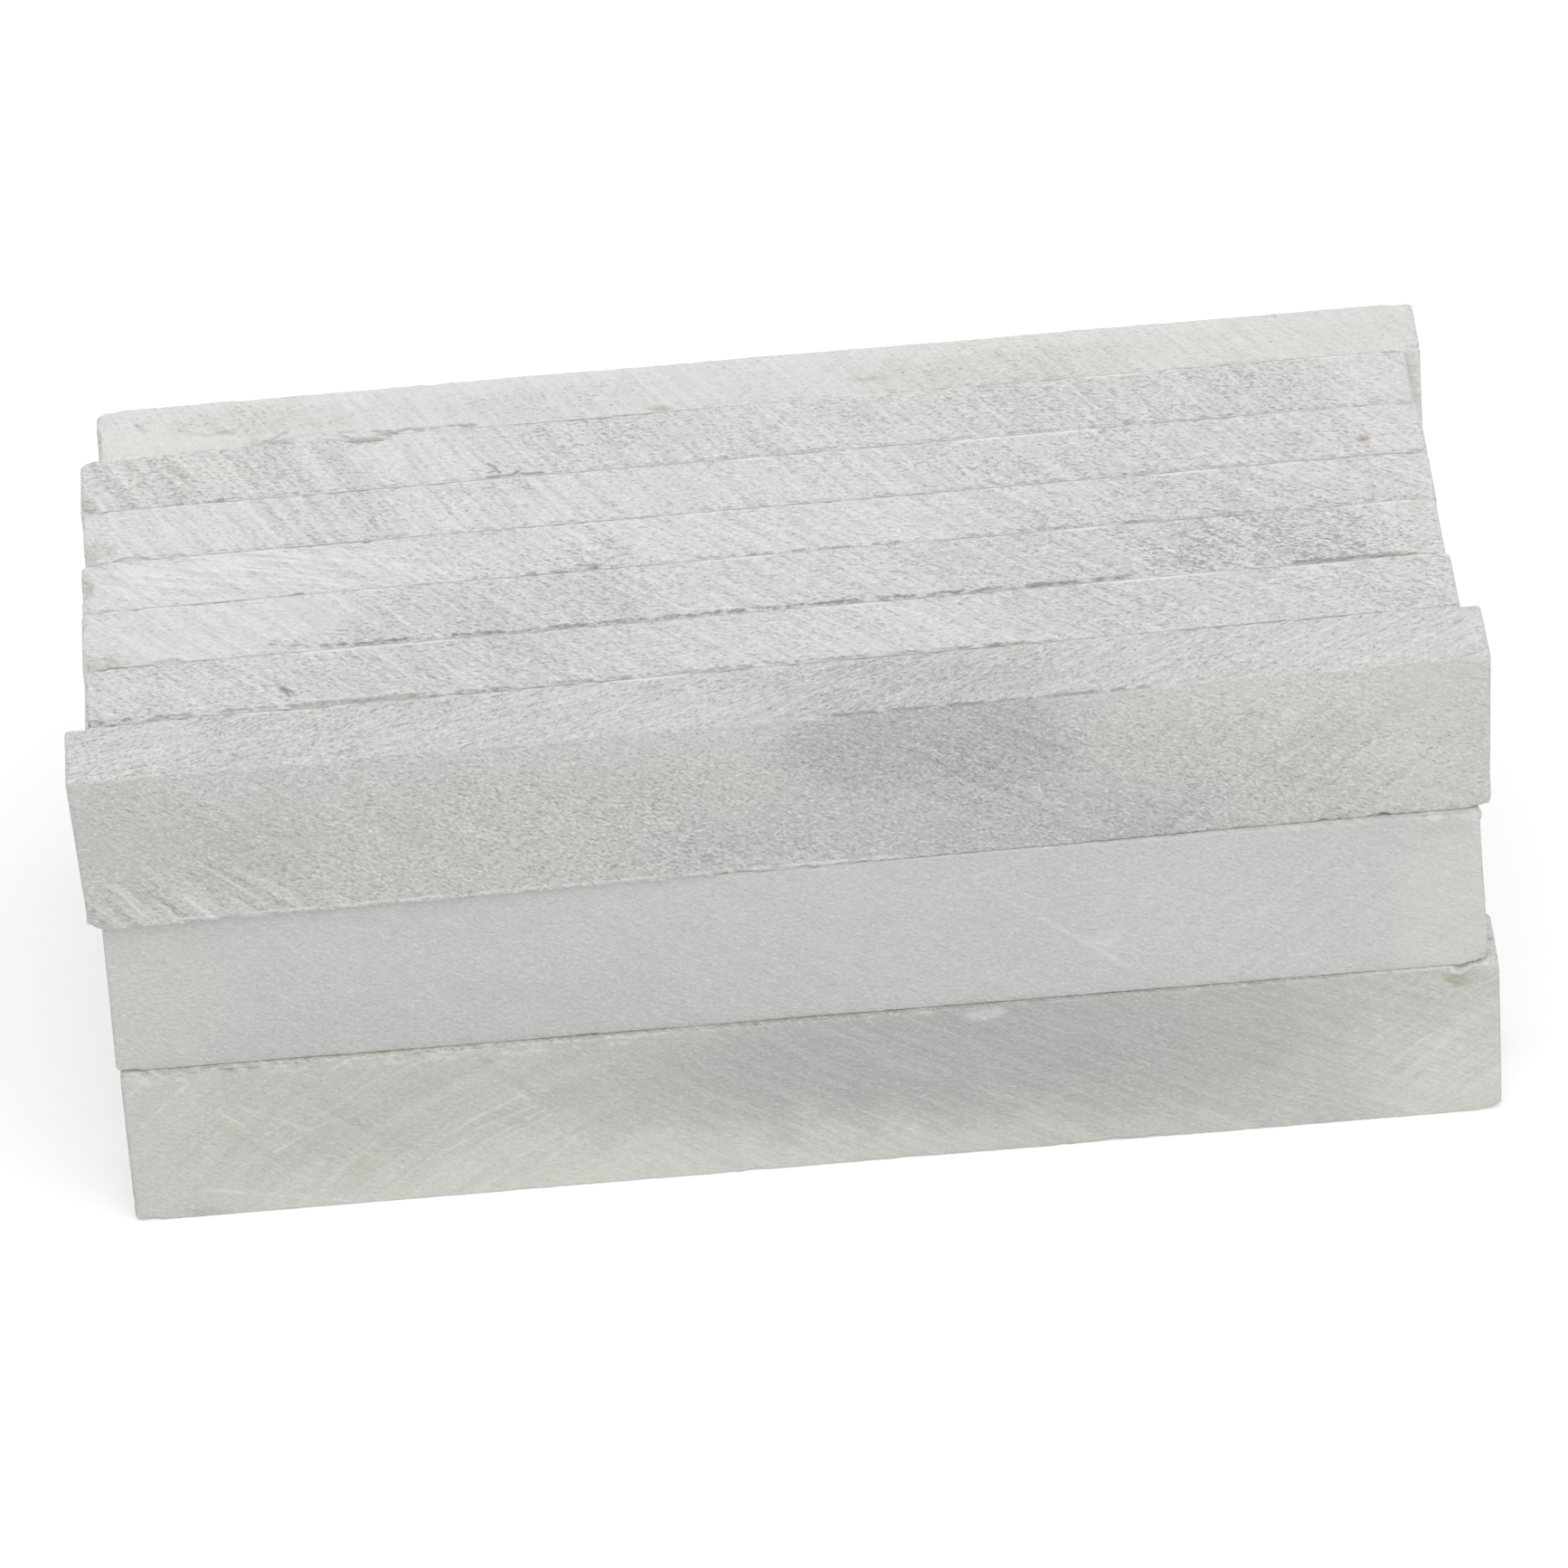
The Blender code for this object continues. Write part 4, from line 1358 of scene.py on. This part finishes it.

# The narrow top faces, front row to back row; the dark lines along their front edges are dust and painted
# shade in the seams
TOP_NARROW = {
    1: StoneFinish(
        "top_stick_1_narrow", (0.63, 0.643, 0.628), openness=0.2, saws=(FLAT_SLANT,), way=(0.70, 0.71, 0.0),
        clouds=(
            TOP.cloud((7.0, -0.5), (8.0, 3.0), (0.55, 0.565, 0.565), 0.85, 0.3),
            TOP.cloud((34.0, 0.0), (6.5, 3.5), (0.69, 0.695, 0.675), 0.85, -0.3),
            TOP.cloud((-35.0, 0.0), (5.0, 3.5), (0.665, 0.67, 0.65), 0.8),
        ),
        lines=(EDGE_CRACK,)),
    2: StoneFinish(
        "top_stick_2_narrow", (0.675, 0.68, 0.68), openness=0.15, saws=(SLANT,),
        clouds=(
            TOP.cloud((-33.0, 0.5), (7.0, 3.5), (0.67, 0.668, 0.67), 0.8, 0.2),
            TOP.cloud((-17.0, 0.0), (8.0, 3.2), (0.645, 0.645, 0.655), 0.8, 0.2),
            TOP.cloud((6.0, 0.0), (7.0, 3.0), (0.71, 0.705, 0.71), 0.7, -0.2),
            TOP.cloud((18.0, 0.5), (5.0, 2.6), (0.64, 0.64, 0.645), 0.7, 0.2),
            TOP.cloud((34.5, -0.5), (5.0, 3.0), (0.685, 0.69, 0.67), 0.8, 0.4),
        ),
        lines=(
            TOP.score((-37.0, -2.35), (-18.0, -2.45), 0.30, -0.6, 0.5, 0.40),
            TOP.score((-18.0, -2.45), (14.0, -2.45), 0.22, -0.6, 0.5, 0.48),
            *TOP.crack((-26.9, -0.3), (-26.5, -0.65), width=0.16, light=-0.4),
            *TOP.crack((-26.5, -0.7), (-26.3, -0.95), width=0.36, light=-0.9),
            *TOP.crack((-26.3, -0.95), (-25.9, -1.1), width=0.22),
            *TOP.crack((-26.3, -1.1), (-26.1, -1.5)),
            *TOP.crack((-26.0, 0.75), (-25.5, 0.65), (-25.4, 0.4), width=0.14, light=-0.5),
            TOP.score((-17.7, 0.2), (-15.0, -2.4), 0.14, 0.5),
            TOP.score((-28.6, 1.6), (-26.6, -0.7), 0.16, 0.4),
            TOP.score((-4.4, 1.6), (-0.7, -2.4), 0.20, 0.45),
            TOP.score((-5.2, 1.4), (-1.6, -2.4), 0.16, 0.35),
        )),
    3: StoneFinish(
        "top_stick_3_narrow", (0.69, 0.69, 0.695), openness=0.1, saws=(SLANT,),
        clouds=(
            TOP.cloud((-31.5, 0.3), (8.8, 3.6), (0.745, 0.745, 0.735), 0.95, -0.8, softness=0.12, lean=0.8),
            Cloud((-36.3, -2.3, 4.9), (1.6, 0.5, 1.0), (0.52, 0.49, 0.42), 0.5, ragged=0.8),
            TOP.cloud((-14.0, -0.5), (8.0, 3.6), (0.64, 0.64, 0.66), 0.75, 0.4, softness=0.25, lean=0.8),
            TOP.cloud((16.0, 0.0), (7.0, 3.4), (0.645, 0.645, 0.645), 0.75, 0.4),
            TOP.cloud((28.0, -0.2), (7.0, 3.4), (0.60, 0.60, 0.605), 0.8, 1.5),
            TOP.cloud((36.5, 0.0), (3.5, 3.0), (0.69, 0.69, 0.68), 0.8),
        ),
        lines=(
            TOP.score((-24.0, -2.45), (20.0, -2.45), 0.30, -0.9, 0.7, 0.46),
            TOP.score((29.0, -2.4), (37.0, -2.45), 0.32, -0.7, 0.4, 0.36),
            TOP.score((-26.9, -1.8), (-25.3, -2.2), 0.24, -0.55, 0.5, 0.28),
            TOP.score((-29.5, 1.4), (-27.1, -1.6), 0.14, 0.5),
            TOP.score((-20.8, 1.4), (-19.4, -1.0), 0.14, 0.5),
        )),
    4: StoneFinish(
        "top_stick_4_narrow", (0.715, 0.715, 0.725),
        saws=(
            SLANT,
            SawSet(
                (34.8, 197.0, 4.9), reach=5.0, light=0.08, scores=0.35,
                where=TOP.area((-28.0, 0.0), (9.0, 3.0))),
        ),
        clouds=(
            TOP.cloud((-29.0, -0.2), (9.0, 2.8), (0.765, 0.765, 0.76), 0.8, -0.9),
            Cloud((-37.1, -0.2, 4.9), (0.6, 1.0, 1.0), (0.48, 0.48, 0.39), 0.5, ragged=0.8),
            TOP.cloud((-9.0, -0.8), (2.4, 1.4), (0.68, 0.69, 0.69), 0.6, 0.7),
            TOP.cloud((24.0, -0.6), (10.0, 2.8), (0.655, 0.65, 0.67), 0.8, 0.5),
        ),
        lines=(
            TOP.score((-16.0, -2.15), (34.0, -2.15), 0.20, -0.6, 0.5, 0.49),
            TOP.score((-10.0, -1.8), (-8.9, -2.0), 0.30, -0.7, 0.9, 0.35),
            TOP.score((4.6, 2.0), (7.4, -2.0), 0.14, 0.5),
        )),
    5: StoneFinish(
        "top_stick_5_narrow", (0.71, 0.71, 0.71),
        saws=(STEEP_SLANT, SawSet(STEEP_CENTRE, 0.7, 10.0, 0.05, where=TOP.area((-20.0, 0.0), (10.0, 4.0)))),
        clouds=(
            TOP.cloud((-32.0, 0.4), (6.0, 3.0), (0.75, 0.75, 0.745), 0.8, -0.4),
            Cloud((-36.5, -1.6, 4.9), (1.2, 0.8, 1.0), (0.48, 0.48, 0.39), 0.5, ragged=0.8),
            TOP.cloud((-23.5, -0.2), (4.0, 2.6), (0.68, 0.68, 0.66), 0.7, 0.1),
            TOP.cloud((22.0, 0.3), (13.0, 3.2), (0.665, 0.665, 0.665), 0.8, 0.5),
            TOP.cloud((37.0, 0.0), (4.0, 3.0), (0.73, 0.73, 0.725), 0.8, -0.4),
            Cloud((33.7, -0.8, 4.9), (0.34, 0.24, 0.6), (0.42, 0.33, 0.26), 0.8, ragged=0.2, softness=0.7),
        ),
        lines=(
            TOP.score((-37.0, -2.3), (37.0, -2.3), 0.18, -0.5, 0.5, 0.52),
            TOP.score((7.5, 2.2), (9.1, -0.7), 0.14, 0.5),
        )),
    6: StoneFinish(
        "top_stick_6_narrow", (0.70, 0.70, 0.695), openness=0.1,
        saws=(STEEP_SLANT, SawSet(STEEP_CENTRE, 0.8, 10.0, 0.06, where=TOP.area((-29.0, 0.0), (10.0, 4.0)))),
        clouds=(
            TOP.cloud((-31.5, 0.0), (5.5, 3.4), (0.69, 0.68, 0.66), 0.8, 0.4),
            Cloud((-36.9, -2.0, 4.9), (0.7, 0.8, 1.0), (0.50, 0.50, 0.42), 0.6, ragged=0.5),
            TOP.cloud((-17.0, -0.2), (5.5, 3.0), (0.745, 0.745, 0.75), 0.8, -0.6),
            TOP.cloud((-9.3, 0.8), (3.6, 2.2), (0.655, 0.655, 0.655), 0.7, 0.6),
            TOP.cloud((23.0, 0.0), (13.0, 3.4), (0.665, 0.665, 0.665), 0.75, 0.4),
            TOP.cloud((36.5, 0.0), (4.0, 3.0), (0.73, 0.73, 0.725), 0.8, -0.6),
        ),
        lines=(
            TOP.score((-37.0, -2.45), (37.0, -2.45), 0.18, -0.5, 0.5, 0.51),
            *TOP.crack((-14.4, -1.1), (-14.1, -1.4), (-13.8, -2.1)),
            *TOP.crack((-14.4, -2.0), (-13.9, -1.8), width=0.16),
            *TOP.crack((-15.5, -1.55), (-14.8, -1.75), width=0.14, light=-0.5),
            *TOP.crack((-14.5, -2.45), (-13.1, -2.4), (-12.8, -2.05), width=0.22, light=-0.85),
            *TOP.crack((-12.6, -2.3), (-12.4, -2.45), (-11.4, -2.45)),
        )),
    7: StoneFinish(
        "top_stick_7_narrow", (0.75, 0.75, 0.735), tone=0.29, openness=-0.5,
        saws=(SawSet(STEEP_CENTRE, light=0.03, scores=0.22),),
        clouds=(
            TOP.cloud((13.5, -0.2), (7.8, 3.2), (0.70, 0.69, 0.65), 0.85, 0.5, softness=0.2),
            TOP.cloud((29.0, 0.2), (8.0, 3.4), (0.745, 0.74, 0.71), 0.7),
            TOP.cloud((-12.0, -0.3), (5.0, 2.2), (0.715, 0.72, 0.695), 0.7, 0.3),
            TOP.cloud((-28.0, 0.0), (5.0, 1.4), (0.70, 0.70, 0.67), 0.8, 0.6),
            TOP.cloud((-35.0, -2.0), (6.0, 1.8), (0.81, 0.81, 0.80), 0.8, -0.6, ragged=0.4),
            TOP.cloud((0.0, 2.4), (50.0, 1.7), (0.79, 0.79, 0.775), 0.75, -0.3, softness=0.5),
            Cloud((-5.5, -2.2, 4.9), (0.7, 0.3, 0.6), (0.46, 0.39, 0.30), 0.6, ragged=0.2, softness=0.7),
            Cloud((6.2, -0.8, 4.9), (0.9, 0.2, 0.6), (0.52, 0.45, 0.37), 0.5, ragged=0.2, softness=0.7),
        ),
        lines=(
            *SPALL_CRACKS,
            TOP.score((-15.0, -2.25), (37.0, -2.25), 0.14, -0.4, 0.5, 0.56),
        )),
}

# The wide faces of the front row, with painted light: lighter along the top of the top stick, lighter along
# the bottom of the bottom stick from light off the floor, and lighter at the ends as a painted glow
FRONT_WIDE = {
    Layer.TOP: StoneFinish(
        "top_stick_1_wide", (0.602, 0.607, 0.582), 0.15, 0.54, openness=0.1, pit_dark=0.3, fleck_light=0.25,
        way=FRONT_WAY,
        saws=(
            SawSet(FALLING_CENTRE, light=0.02, scores=0.06),
            SawSet((125.0, -2.4, 156.0), 0.5, 6.0, 0.12, 0.5, where=FRONT.area((-33.0, -4.2), (6.5, 2.4))),
            SawSet(FALLING_CENTRE, 0.4, 6.0, 0.04, 0.18, where=FRONT.area((10.0, 0.5), (6.0, 4.0))),
            SawSet(RISING_CENTRE, 0.45, 6.0, 0.035, 0.18, where=FRONT.area((29.0, -1.0), (9.0, 4.0))),
        ),
        clouds=(
            # Lighter along the top: painted light from above
            FRONT.cloud((0.0, 5.2), (60.0, 2.2), (0.645, 0.645, 0.63), 0.85, -0.3, softness=0.6),
            FRONT.cloud((32.0, 4.4), (12.0, 3.0), (0.675, 0.675, 0.65), 0.8, -0.3, softness=0.6),
            FRONT.cloud((14.0, -3.6), (9.0, 2.6), (0.54, 0.545, 0.54), 0.8),
            FRONT.cloud((0.0, -2.8), (7.0, 2.0), (0.565, 0.57, 0.565), 0.7),
            FRONT.cloud((7.5, 2.6), (7.5, 3.4), (0.49, 0.505, 0.495), 0.85, 0.3),
            FRONT.cloud((11.5, 0.4), (4.5, 2.0), (0.48, 0.495, 0.485), 0.6, 0.3),
            FRONT.cloud((-31.5, -0.8), (6.0, 2.6), (0.565, 0.568, 0.54), 0.8, -0.3),
            FRONT.cloud((-37.5, 1.0), (4.5, 5.0), (0.60, 0.605, 0.57), 0.8, -0.7, softness=0.6),
            # Lighter towards the end: painted glow
            FRONT.cloud((37.0, 0.5), (5.5, 7.0), (0.66, 0.66, 0.625), 0.85, -0.6),
        ),
        lines=(
            EDGE_CRACK,
            FRONT.score((9.0, 1.9), (14.2, -2.3), 0.14, 0.25, 0.1),
            FRONT.score((24.6, -2.4), (28.4, 0.2), 0.14, 0.25, 0.1),
            FRONT.score((-33.0, -4.72), (6.0, -4.78), 0.17, 0.5, 0.3, 0.44),
        )),
    Layer.MIDDLE: StoneFinish(
        "middle_stick_1_wide", (0.627, 0.633, 0.616), 0.15, 0.30, openness=-0.3, pit_dark=0.05,
        fleck_light=0.12, patchy=0.6, way=FRONT_WAY,
        saws=(
            SawSet((110.0, -2.2, 167.0), light=0.012, scores=0.06),
            SawSet(
                (60.0, -2.2, -37.0), light=0.016, scores=0.12,
                where=MIDDLE.area((27.0, -1.0), (10.0, 5.0))),
        ),
        clouds=(
            MIDDLE.cloud((-18.0, -4.4), (20.0, 3.4), (0.59, 0.602, 0.588), 0.8, softness=0.6),
            MIDDLE.cloud((-27.0, 2.8), (4.0, 1.6), (0.63, 0.645, 0.65), 0.6),
            MIDDLE.cloud((-1.0, 3.5), (8.0, 2.2), (0.63, 0.643, 0.64), 0.6),
            MIDDLE.cloud((27.0, 0.0), (12.0, 7.0), (0.65, 0.66, 0.645), 0.8),
            MIDDLE.cloud((12.5, -0.5), (4.0, 2.4), (0.63, 0.628, 0.612), 0.7),
            MIDDLE.cloud((14.8, -3.6), (3.5, 1.5), (0.62, 0.632, 0.642), 0.7),
            # Lighter towards the end: painted glow
            MIDDLE.cloud((-36.8, 0.0), (5.5, 7.0), (0.645, 0.647, 0.615), 0.85, softness=0.6),
            MIDDLE.cloud((16.9, -1.4), (0.9, 0.6), (0.72, 0.725, 0.715), 0.5, ragged=0.5),
            MIDDLE.cloud((35.4, 4.2), (1.2, 0.45), (0.50, 0.51, 0.42), 0.7, ragged=0.3),
            # Lighter towards the end: painted glow
            MIDDLE.cloud((36.6, -1.5), (4.0, 7.0), (0.695, 0.70, 0.66), 0.9, -0.5),
        ),
        lines=(
            MIDDLE.score((9.9, 3.2), (13.8, 0.0), 0.24, 0.20, 0.15, 0.38),
            MIDDLE.score((13.8, 0.0), (17.8, -3.3), 0.24, 0.26, 0.15, 0.42),
            MIDDLE.score((9.6, 3.4), (12.8, 4.5), 0.24, 0.2, 0.1, 0.38),
        )),
    Layer.BOTTOM: StoneFinish(
        "bottom_stick_1_wide", (0.595, 0.602, 0.565), 0.15, 0.26, openness=-0.2, pit_dark=0.05,
        fleck_light=0.15, patchy=0.6, way=FRONT_WAY,
        saws=(
            SawSet((2.0, -2.4, -36.0), 0.5, 10.0, 0.035, 0.10, where=FRONT.area((-23.0, 0.5), (14.0, 6.0))),
            SawSet(FALLING_CENTRE, 0.4, 8.0, 0.03, 0.10, where=FRONT.area((-28.0, 0.5), (5.0, 3.0))),
            SawSet(FALLING_CENTRE, 0.30, 6.0, 0.036, 0.13, where=FRONT.area((14.0, 0.0), (30.0, 8.0))),
            SawSet(RISING_CENTRE, 0.4, 6.0, 0.035, 0.20, where=FRONT.area((35.0, 1.0), (5.0, 5.0))),
        ),
        clouds=(
            # Lighter along the bottom: painted light bounced off the floor
            FRONT.cloud((-16.0, -5.6), (24.0, 3.4), (0.72, 0.725, 0.67), 0.9, -0.4, softness=0.7),
            FRONT.cloud((20.0, -5.6), (14.0, 2.2), (0.63, 0.635, 0.59), 0.8, -0.2, softness=0.6),
            FRONT.cloud((7.0, 2.2), (17.0, 4.2), (0.475, 0.49, 0.475), 0.9, 0.2, softness=0.5),
            FRONT.cloud((20.0, 2.0), (8.0, 4.5), (0.50, 0.51, 0.49), 0.7, softness=0.5),
            FRONT.cloud((30.0, 2.5), (3.5, 1.8), (0.56, 0.58, 0.545), 0.5),
            # Lighter towards the ends: painted glow
            FRONT.cloud((-36.8, -1.0), (5.0, 8.0), (0.645, 0.65, 0.61), 0.85),
            FRONT.cloud((36.8, -3.0), (6.0, 5.0), (0.70, 0.705, 0.655), 0.9, -0.4, softness=0.6),
            Cloud((9.6, -2.4, 4.6), (1.1, 0.8, 0.35), (0.72, 0.73, 0.73), 0.6, ragged=0.3),
            FRONT.cloud((-31.3, 0.4), (1.3, 0.9), (0.59, 0.60, 0.50), 0.35),
            FRONT.cloud((-24.5, -2.0), (2.2, 0.8), (0.60, 0.61, 0.515), 0.3),
            FRONT.cloud((-33.9, -4.6), (1.2, 0.4), (0.49, 0.49, 0.465), 0.45, ragged=0.4, softness=0.7),
            FRONT.cloud((35.5, 4.3), (0.7, 0.4), (0.41, 0.425, 0.31), 0.75, ragged=0.5),
        ),
        lines=(
            FRONT.score((-37.0, 4.6), (-9.0, 4.6), 0.24, 0.45, 0.9, 0.53),
            *FRONT.strokes(
                ((-19.3, 0.0), (-16.2, 1.5)), ((-18.8, -0.5), (-15.1, 0.9)), ((-18.4, -1.4), (-14.8, 0.5)),
                ((-17.6, -1.4), (-14.5, 0.1)), ((-16.5, -2.6), (-14.4, -1.4)), ((-14.9, -3.0), (-13.3, -1.7)),
                ((-22.6, 3.9), (-20.6, 4.8)), ((-28.6, 0.3), (-26.2, 1.0)), ((-29.8, -0.9), (-27.2, 0.7)),
                ((-20.8, -1.9), (-19.1, -1.1)), ((-36.9, 1.6), (-33.6, 4.7)), ((-37.5, 3.7), (-35.9, 5.0)),
                ((-31.5, 2.5), (-29.5, 0.8)), ((-32.7, 2.3), (-31.0, 0.8)), ((-30.7, 2.1), (-28.2, 0.6))),
            *FRONT.strokes(
                ((-33.9, -3.1), (-29.9, -3.9)), ((-33.4, -3.1), (-27.7, -4.4)),
                ((-29.3, -3.8), (-26.0, -4.7)), width=0.2),
            *FRONT.strokes(((-18.3, 4.6), (-14.8, 1.0)), width=0.5, light=-0.14),
            *FRONT.strokes(((-16.8, 2.4), (-15.2, 0.8)), width=0.2, light=0.4),
        )),
}

# How the edges that show have worn, with dust and painted shade in the seams to the next stick and pale rims
# with a painted highlight
# Clean edges with a pale rim: worn whitening with a painted highlight
CLEAN = EdgeWear(0.10, 0.0, 1.3)
DUSTY = EdgeWear(0.26, 1.2)
EDGES = {
    (Layer.TOP, 1): {
        Edge.FRONT_TOP: EdgeWear(0.28, 0.0, 0.2, ((1.9, 20.0, 1.3),)),
        Edge.BACK_TOP: EdgeWear(0.10, 0.0, 1.3, (), (0.08, 0.02)),
        Edge.FRONT_BOTTOM: EdgeWear(0.16, 0.0, 0.4, ((-38.0, 2.0, 1.6),)),
    },
    (Layer.TOP, 2): {
        Edge.FRONT_TOP: EdgeWear(0.30, 1.6, 0.0, ((-37.0, -14.0, 1.4), (15.0, 37.0, 0.7)), (0.06, 0.02)),
        Edge.BACK_TOP: CLEAN,
    },
    (Layer.TOP, 3): {
        Edge.FRONT_TOP: EdgeWear(0.30, 1.6, 0.0, ((-24.0, 18.0, 1.5), (29.0, 37.0, 1.6))),
        Edge.BACK_TOP: CLEAN,
    },
    (Layer.TOP, 4): {Edge.FRONT_TOP: EdgeWear(0.26, 1.4, 0.0, ((-14.0, 9.0, 1.3),)), Edge.BACK_TOP: CLEAN},
    (Layer.TOP, 5): {Edge.FRONT_TOP: DUSTY, Edge.BACK_TOP: CLEAN},
    (Layer.TOP, 6): {Edge.FRONT_TOP: DUSTY, Edge.BACK_TOP: CLEAN},
    (Layer.TOP, 7): {
        Edge.FRONT_TOP: EdgeWear(0.22, 0.8, 0.0, ((-29.0, -19.0, 1.6),)),
        Edge.BACK_TOP: EdgeWear(0.12, 0.0, 0.3),
    },
    (Layer.MIDDLE, 1): {
        Edge.FRONT_TOP: EdgeWear(0.14, 0.0, 0.2),
        Edge.FRONT_BOTTOM: EdgeWear(0.06, 0.6),
    },
    (Layer.BOTTOM, 1): {
        Edge.FRONT_TOP: EdgeWear(0.20, 0.0, 0.25, ((-38.0, -9.0, 2.0),)),
        Edge.FRONT_BOTTOM: EdgeWear(0.10),
    },
}

# Flakes and pits that show
SCARS = {
    (Layer.TOP, 7): (Scar((-36.5, -2.3, 4.9), (9.0, 3.0, 1.2), 0.28, ragged=0.12, lip=0.10),),
    (Layer.TOP, 5): (Scar((-36.9, -1.5, 4.9), (0.9, 0.7, 0.8), 0.25, 0.15, 0.8),),
    (Layer.TOP, 4): (Scar((-37.2, -0.3, 4.9), (0.6, 0.7, 1.0), 0.35, 0.15, 0.8),),
    (Layer.TOP, 3): (
        Scar((-26.1, -2.4, 4.9), (0.9, 0.6, 0.6), 0.2, 0.12, 0.7),
        Scar((-36.4, -2.5, 4.9), (1.4, 0.5, 0.8), 0.3, 0.18, 0.8),
    ),
}


def main() -> None:
    """Loads the CAD frame and builds the block and its studio."""
    logging.basicConfig(level=logging.INFO, format="%(name)s: %(message)s")
    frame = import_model()
    shelf = StoneShelf()
    ChalkBlock().build(frame["nodes"], shelf)
    Studio().build()
    bpy.context.view_layer.update()


if __name__ == "__main__":
    main()
